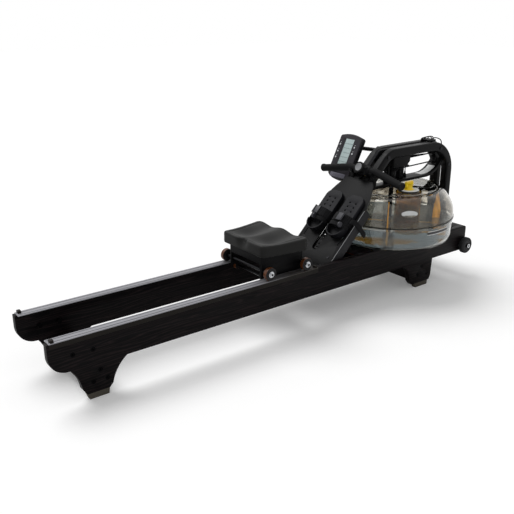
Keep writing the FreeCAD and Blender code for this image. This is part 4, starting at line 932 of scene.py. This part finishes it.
def makeTankRims():
    bead = lathe(rimBead["profile"], Vector((tankAxis.x, 0, rimBead["height"] * mm)), steps=120)
    finished(bead, "tankFootRim", "frame", rimClear, 60)


def makeSeamBand():  # clear band over the gasket's edge
    inner, lip, chamfer, outer = band["inner"], band["lip"], band["chamfer"], band["outer"]
    around = lathe([(inner, -4.2), (chamfer, -4.2), (outer, -3.4), (outer, 3.4), (chamfer, 4.2), (inner, 4.2),
                    (inner, 3.0), (lip, 2.6), (lip, -2.6), (inner, -3.0), (inner, -4.2)],
                   Vector((tankAxis.x, 0, band["height"] * mm)), steps=120)
    finished(around, "seamBand", "frame", rimClear, 60)


def makeStripGrooves():  # two drawn grooves along each running strip
    for side in (-1, 1):
        for across in groove["from"]:
            line = block(spot(groove["middle"], side * across, groove["height"]),
                         (groove["length"], groove["wide"], groove["deep"]))
            softened(line, 0.15, 2)
            finished(line, "stripGroove%s%d" % (sideName[side], across), "frame", capGroove)


makeWater()
makeTankMarks()
makeTankRims()
makeTankClips()
makeSeamBand()
recoloured(shown["level_plate"], blackSticker, lambda c, n: n.z < 0.6)  # its upper face stays pale
recoloured(shown["tank_seals"], rimClear, lambda c, n: c.z > 440 * mm)  # the ring on top is clear
makeStripGrooves()
print("tank filled and marked")


# console: row lines on the screen, key marks, surround and rear screws

console = {"tilt": math.radians(26), "lensHalf": 1.25, "middleUp": 19.5}
consoleUp = Vector((math.sin(console["tilt"]), 0, math.cos(console["tilt"])))
consoleOut = Vector((-math.cos(console["tilt"]), 0, math.sin(console["tilt"])))
consoleTurn = (0, -math.pi / 2 + console["tilt"], 0)
consoleLean = (0, console["tilt"], 0)
rowLines = {"rows": (61, 40, 19, -2, -23), "size": (0.5, 45, 1.3), "out": 0.1}
surround = {"thick": 1.2, "wide": 2.2, "halfHeight": 65.4, "halfWidth": 27.2, "across": 55.0, "tall": 133,
            "out": 0.2}
keys = {"count": 5, "barOut": 6.2, "barUp": 10.5, "barSize": (0.5, 7.0, 1.8), "markOut": 7.2,
        "markRadius": 4.3}
rearScrews = {"across": 52, "up": 78, "out": -32.5, "radius": 4.0, "height": 1.6}
lowerPanel = {"up": -88, "out": 0.6, "size": (1.6, 92, 20)}


def consoleSpot(across, up, out):  # across to the rower's right, up the face and out of it, in millimetres
    lens = middleOf("console_lens") + consoleOut * console["lensHalf"] * mm
    base = lens - consoleUp * console["middleUp"] * mm
    return base + Vector((0, -across * mm, 0)) + consoleUp * up * mm + consoleOut * out * mm


def makeScreenLines():
    rules = [block(consoleSpot(0, row, rowLines["out"]), rowLines["size"], consoleLean)
             for row in rowLines["rows"]]
    finished(joined(rules), "screenRowLines", "console", screenInk, 30)
    thick, wide, middle = surround["thick"], surround["wide"], console["middleUp"]
    bars = [block(consoleSpot(0, middle + way * surround["halfHeight"], surround["out"]),
                  (thick, surround["across"], wide), consoleLean) for way in (-1, 1)]
    bars += [block(consoleSpot(way * surround["halfWidth"], middle, surround["out"]),
                   (thick, wide, surround["tall"]), consoleLean) for way in (-1, 1)]
    frameAround = joined(bars)
    softened(frameAround, 0.4, 2)
    finished(frameAround, "screenSurround", "console", keyRubber)


def makeKeyMarks():
    for index in range(1, keys["count"] + 1):
        key = middleOf("button_%d" % index)
        bar = block(key + consoleOut * keys["barOut"] * mm + consoleUp * keys["barUp"] * mm, keys["barSize"],
                    consoleLean)
        softened(bar, 0.15, 2)
        finished(bar, "keyLabelBar%d" % index, "console", keyMark)
        mark = drum(key + consoleOut * keys["markOut"] * mm, keys["markRadius"], 0.5, "z", 24)
        mark.rotation_euler = consoleTurn
        softened(mark, 0.2, 2)
        finished(mark, "keyMark%d" % index, "key_%d" % index, keyMark)


def makeRearScrews():
    screws = []
    for way in (-1, 1):
        for up in (-1, 1):
            centre = consoleSpot(way * rearScrews["across"], up * rearScrews["up"], rearScrews["out"])
            screw = drum(centre, rearScrews["radius"], rearScrews["height"], "z", 24)
            screw.rotation_euler = consoleTurn
            pick(screw, lambda c, n: n.z < -0.9)
            inset(1.6)
            inset(0.3, -0.8)
            done()
            screws.append(screw)
    finished(joined(screws), "consoleRearScrews", "console", blackOxide)


def makeLowerPanel():  # shallow tray at the foot of the casing, seen under the handle
    panel = block(consoleSpot(0, lowerPanel["up"], lowerPanel["out"]), lowerPanel["size"], consoleLean)
    softened(panel, min(lowerPanel["size"]) * 0.3, 2)
    finished(panel, "consoleLowerPanel", "console", caseGrey)


makeScreenLines()
makeKeyMarks()
makeRearScrews()
makeLowerPanel()
print("console detailed")


# handle: blank badge on the hub, end caps and inner collars of the grips

barCentre = spot(1500, 0, 552)
badge = {"rise": 29.0, "radius": 17.0, "reach": 36.5, "thick": 1.6, "border": 3.2}
grip = {"back": 16.2, "drop": 26.8, "short": 1.0, "innerSide": 80, "capRadius": 16.6, "capDepth": 9,
        "capIn": 3.5, "collarSide": 43.2, "collarRadius": 17.6, "collarDepth": 3.6}


def makeBadge():
    rise = math.radians(badge["rise"])
    way = Vector((-math.cos(rise), 0, math.sin(rise)))
    disc = drum(barCentre + way * badge["reach"] * mm, badge["radius"], badge["thick"], "z", 64)
    facing(disc, way)
    pick(disc, lambda c, n: n.z > 0.9)
    inset(badge["border"])
    inset(0.5, -0.8)
    done()
    softened(disc, 0.3, 2, 50)
    finished(disc, "blankBadge", "handle", badgeGrey, 40)


def makeGripEnds():
    low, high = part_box("handle_grips")
    for side in (-1, 1):
        tip = Vector((barCentre.x - grip["back"] * mm, side * (high[1] - grip["short"] * mm),
                      barCentre.z - grip["drop"] * mm))
        inner = Vector((barCentre.x, side * grip["innerSide"] * mm, barCentre.z))
        way = (tip - inner).normalized()
        cap = drum(tip - way * grip["capIn"] * mm, grip["capRadius"], grip["capDepth"], "z", 40)
        facing(cap, way)
        pick(cap, lambda c, n: n.z > 0.9)
        inset(3.0)
        inset(0.5, -0.6)
        done()
        softened(cap, 1.6, 3, 50)
        finished(cap, "gripCap" + sideName[side], "handle", nylon, 40)
        collar = drum(barCentre + Vector((0, side * grip["collarSide"] * mm, 0)), grip["collarRadius"],
                      grip["collarDepth"], "y", 40)
        softened(collar, 1.0)
        finished(collar, "gripCollar" + sideName[side], "handle", nylon, 40)


makeBadge()
makeGripEnds()
print("handle detailed")


# belt lead, level sensor, wire guard and the blank label on the brace

lead = {"from": (1579.4, 0, 618.6), "to": (1526.6, 0, 560.0)}
sensor = {"x": 1770, "stem": (562, 545, 520, 500), "stemRadius": 2.2, "foot": 474,
          "bulb": [(0, 0), (5.5, 1.5), (7.5, 6), (7.5, 20), (5.5, 25), (3.5, 30), (3.2, 38), (0, 38.5)]}
guard = {"wire": 2.4, "from": 1900.0, "to": 1984.0, "rise": 643.0, "half": 24.0, "foot": 630,
         "frontFoot": 612,
         "cross": [(1912, -30, 632), (1914, -22, 646), (1930, 0, 651), (1942, 22, 646), (1944, 30, 630)]}
bridge = {"place": (1916, 0, 637.5), "size": (40, 58, 8), "screwSide": 21, "screwRise": 5, "screwRadius": 4.5}
sleeve = {"place": (1684, 0, 480),
          "profile": [(12.2, 0), (17, 0), (17.5, 1), (17.5, 44), (16.5, 46), (12.2, 46), (12.2, 0)]}
label = {"x": 1905, "halfLength": 45, "halfWidth": 19, "height": 520, "over": 0.4}


def makeBeltLead():  # the belt is cut where it leaves the front pulley, and its free end is kept as a piece of its own
    tangent = spot(*lead["from"])
    strip = bpy.data.objects.new("lead", shown["drive_belt"].data.copy())
    scene.collection.objects.link(strip)
    for piece, away in ((strip, True), (shown["drive_belt"], False)):
        edit(piece)
        bpy.ops.mesh.bisect(plane_co=tangent, plane_no=(1, 0, 0), use_fill=True, clear_outer=away,
                            clear_inner=not away)
        done()
    strip.name = "beltLead"
    flatten(strip)
    smooth(strip, 30)
    strip.data.materials.clear()
    strip.data.materials.append(beltWeb)
    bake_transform(strip)


def makeSpeedSensor():
    stem = tube([spot(sensor["x"], 0, z) for z in sensor["stem"]], sensor["stemRadius"])
    bulb = lathe(sensor["bulb"], spot(sensor["x"], 0, sensor["foot"]), steps=32)
    finished(joined([stem, bulb]), "speedSensor", "frame", nylon, 50)


# two bent wires over the rear pulley, a third across them, and the plate that holds them
def makeWireGuard():
    loops = []
    for offset, rise, reach in ((-guard["half"], 0, 0), (guard["half"], 3, 5)):
        low, high = guard["from"] - reach, guard["to"] + reach / 2
        top = guard["rise"] + rise
        inner, middle = offset * 0.8, offset * 0.5
        route = [(low, offset, guard["foot"]), (low - 3, offset, top - 4), (low + 12, inner, top),
                 ((low + high) / 2, middle, top + 4), (high - 16, inner, top - 2),
                 (high - 2, offset, top - 14), (high, offset, guard["frontFoot"])]
        loops.append(tube([spot(*place) for place in route], guard["wire"]))
    cross = tube([spot(*place) for place in guard["cross"]], guard["wire"])
    finished(joined(loops + [cross]), "pulleyWireGuard", "frame", blackOxide, 60)
    plate = block(spot(*bridge["place"]), bridge["size"])
    softened(plate, 2.5)
    x, _, z = bridge["place"]
    screws = [socketScrew(spot(x, way * bridge["screwSide"], z + bridge["screwRise"]), bridge["screwRadius"])
              for way in (-1, 1)]
    finished(joined([plate] + screws), "guardBridge", "frame", powderCoat, 40)


def makeShaftSleeve():
    collar = lathe(sleeve["profile"], spot(*sleeve["place"]), steps=40)
    finished(collar, "shaftSleeve", "frame", powderCoat, 40)


def makeBraceLabel():  # blank label on the curve of the rear brace
    select()
    bpy.ops.mesh.primitive_grid_add(x_subdivisions=24, y_subdivisions=6, size=2)
    piece = bpy.context.object
    for point in piece.data.vertices:
        point.co = spot(label["x"] + point.co.x * label["halfLength"], point.co.y * label["halfWidth"],
                        label["height"])
    filmed(piece, shown["tank_brace_rear"], label["over"])
    finished(piece, "blankBraceLabel", "frame", paleSticker, 60)


makeBeltLead()
makeSpeedSensor()
makeWireGuard()
makeShaftSleeve()
makeBraceLabel()
print("belt lead, sensor, guard and label made")


# footboard: boards and ply edge under it, lock strip, painted edge highlights, screws, straps and round
# buckles

board = {"foot": (1204, 0, 228), "slope": math.radians(45.6)}
upBoard = Vector((math.cos(board["slope"]), 0, math.sin(board["slope"])))
offBoard = Vector((-math.sin(board["slope"]), 0, math.cos(board["slope"])))
deckBoards = {  # middle, size, rounding of the edges
    "deckFrontBoard": ((1308, 0, 208), (128, 250, 9), 1.2, "black_coat", powderCoat),
    "deckRearBoard": ((1152, 0, 207), (62, 250, 9), 1.2, "black_coat", powderCoat),
    "deckFrontEdge": ((1339.2, 0, 233.4), (1.6, 250, 4.6), 0.5, "ash_stained", deckEdge),
}
lockStrip = {"along": 98, "behind": -8.5, "size": (124, 40, 2.0), "holes": range(48, 150, 16),
             "holeRadius": 3.4}
edgeHighlightLine = {"side": 126.0, "along": (-20, 60, 160, 262), "off": 0.2, "radius": 0.9}
boardScrew = {"along": 18, "side": 96, "radius": 5.5, "height": 2.4}
strapTail = {
    "route": [(1318, 113, 378), (1322, 121, 381), (1334, 129, 376), (1350, 133, 358), (1372, 134, 330),
              (1394, 133, 300)],
    "width": 24, "thickness": 2.4,
}
ankleStrap = {  # the arch is (share of the way across, height off the board)
    "along": 160, "inner": 14, "outer": 110, "width": 22, "thickness": 2.4,
    "arch": [(0.0, 8), (0.0, 22), (0.12, 34), (0.32, 40), (0.62, 40), (0.88, 34), (1.0, 22), (1.0, 8)],
}
camBuckle = {"places": {1: (159, 66, 45), -1: (155, -93, 45)}, "radius": 11.5, "depth": 8}


def onBoard(s, y, n):  # up the board, across it and off its face, in millimetres
    return spot(*board["foot"]) + upBoard * s * mm + Vector((0, y * mm, 0)) + offBoard * n * mm


def makeDeckBoards():
    for name, (place, size, rounding, slot, finish) in deckBoards.items():
        piece = block(spot(*place), size)
        softened(piece, rounding)
        finished(piece, name, "frame", finish)


def makeLockStrip():  # the punched strip behind the board's slot that the shoes lock to
    strip = block(onBoard(lockStrip["along"], 0, lockStrip["behind"]), lockStrip["size"],
                  (0, -board["slope"], 0))
    for s in lockStrip["holes"]:
        punch = drum(onBoard(s, 0, lockStrip["behind"]), lockStrip["holeRadius"], 12, "z", 24)
        facing(punch, offBoard)
        flatten(punch)
        apply(strip, "BOOLEAN", operation="DIFFERENCE", solver="EXACT", object=punch)
        bpy.data.objects.remove(punch)
    softened(strip, 0.4, 2)
    finished(strip, "shoeLockStrip", "frame", powderCoat, 40)


# painted highlight: pale beads laid along the board's two side edges
def makePaintedEdgeHighlights():
    for side in (-1, 1):
        route = [onBoard(s, side * edgeHighlightLine["side"], edgeHighlightLine["off"]) for s in edgeHighlightLine["along"]]
        bead = tube(route, edgeHighlightLine["radius"])
        finished(bead, "boardPaintedEdgeHighlight" + sideName[side], "frame", paintedEdgeHighlight, 60)


def makeBoardScrews():
    screws = []
    for side in (1, -1):
        head = drum(onBoard(boardScrew["along"], side * boardScrew["side"], 1.0), boardScrew["radius"],
                    boardScrew["height"], "z", 32)
        facing(head, offBoard)
        pick(head, lambda c, n: n.z > 0.9)
        inset(2.0)
        inset(0.3, -1.2)
        done()
        softened(head, 0.5, 2, 50)
        screws.append(head)
    finished(joined(screws), "boardScrews", "frame", blackOxide, 40)


def makeStrapTail(side, body):  # loose end of the foot strap, past the side of the board
    tail = tape([spot(x, side * y, z) for x, y, z in strapTail["route"]], upBoard, strapTail["width"],
                strapTail["thickness"])
    apply(tail, "SUBSURF", levels=2, render_levels=2)
    finished(tail, "strapTail" + sideName[side], body, strapWeb, 60)


def makeAnkleStrap(side, body):  # strap over the ankle, from one side of the foot plate to the other
    inner, outer = side * ankleStrap["inner"], side * ankleStrap["outer"]
    route = [onBoard(ankleStrap["along"], inner + (outer - inner) * share, rise)
             for share, rise in ankleStrap["arch"]]
    strap = tape(route, upBoard, ankleStrap["width"], ankleStrap["thickness"])
    apply(strap, "SUBSURF", levels=2, render_levels=2)
    finished(strap, "ankleStrap" + sideName[side], body, strapWeb, 60)


def makeCamBuckle(side, body):  # round cam buckle standing on the ankle strap
    knob = drum(onBoard(*camBuckle["places"][side]), camBuckle["radius"], camBuckle["depth"], "y", 40)
    pick(knob, lambda c, n: n.z < -0.9)
    inset(1.8)
    inset(0.4, -1.4)
    inset(4.2)
    inset(0.3, 1.6)
    done()
    softened(knob, 0.7, 3, 50)
    finished(knob, "camBuckle" + sideName[side], body, buckleGrey, 40)


makeDeckBoards()
makeLockStrip()
makePaintedEdgeHighlights()
makeBoardScrews()
for side, body in ((1, "shoe_left"), (-1, "shoe_right")):
    makeStrapTail(side, body)
    makeAnkleStrap(side, body)
    makeCamBuckle(side, body)
print("footboard detailed")


makeCamera()
makeWorld()
makeLamp()
makeFloor()
scene.view_settings.view_transform = "Standard"
print("camera, light and floor made")
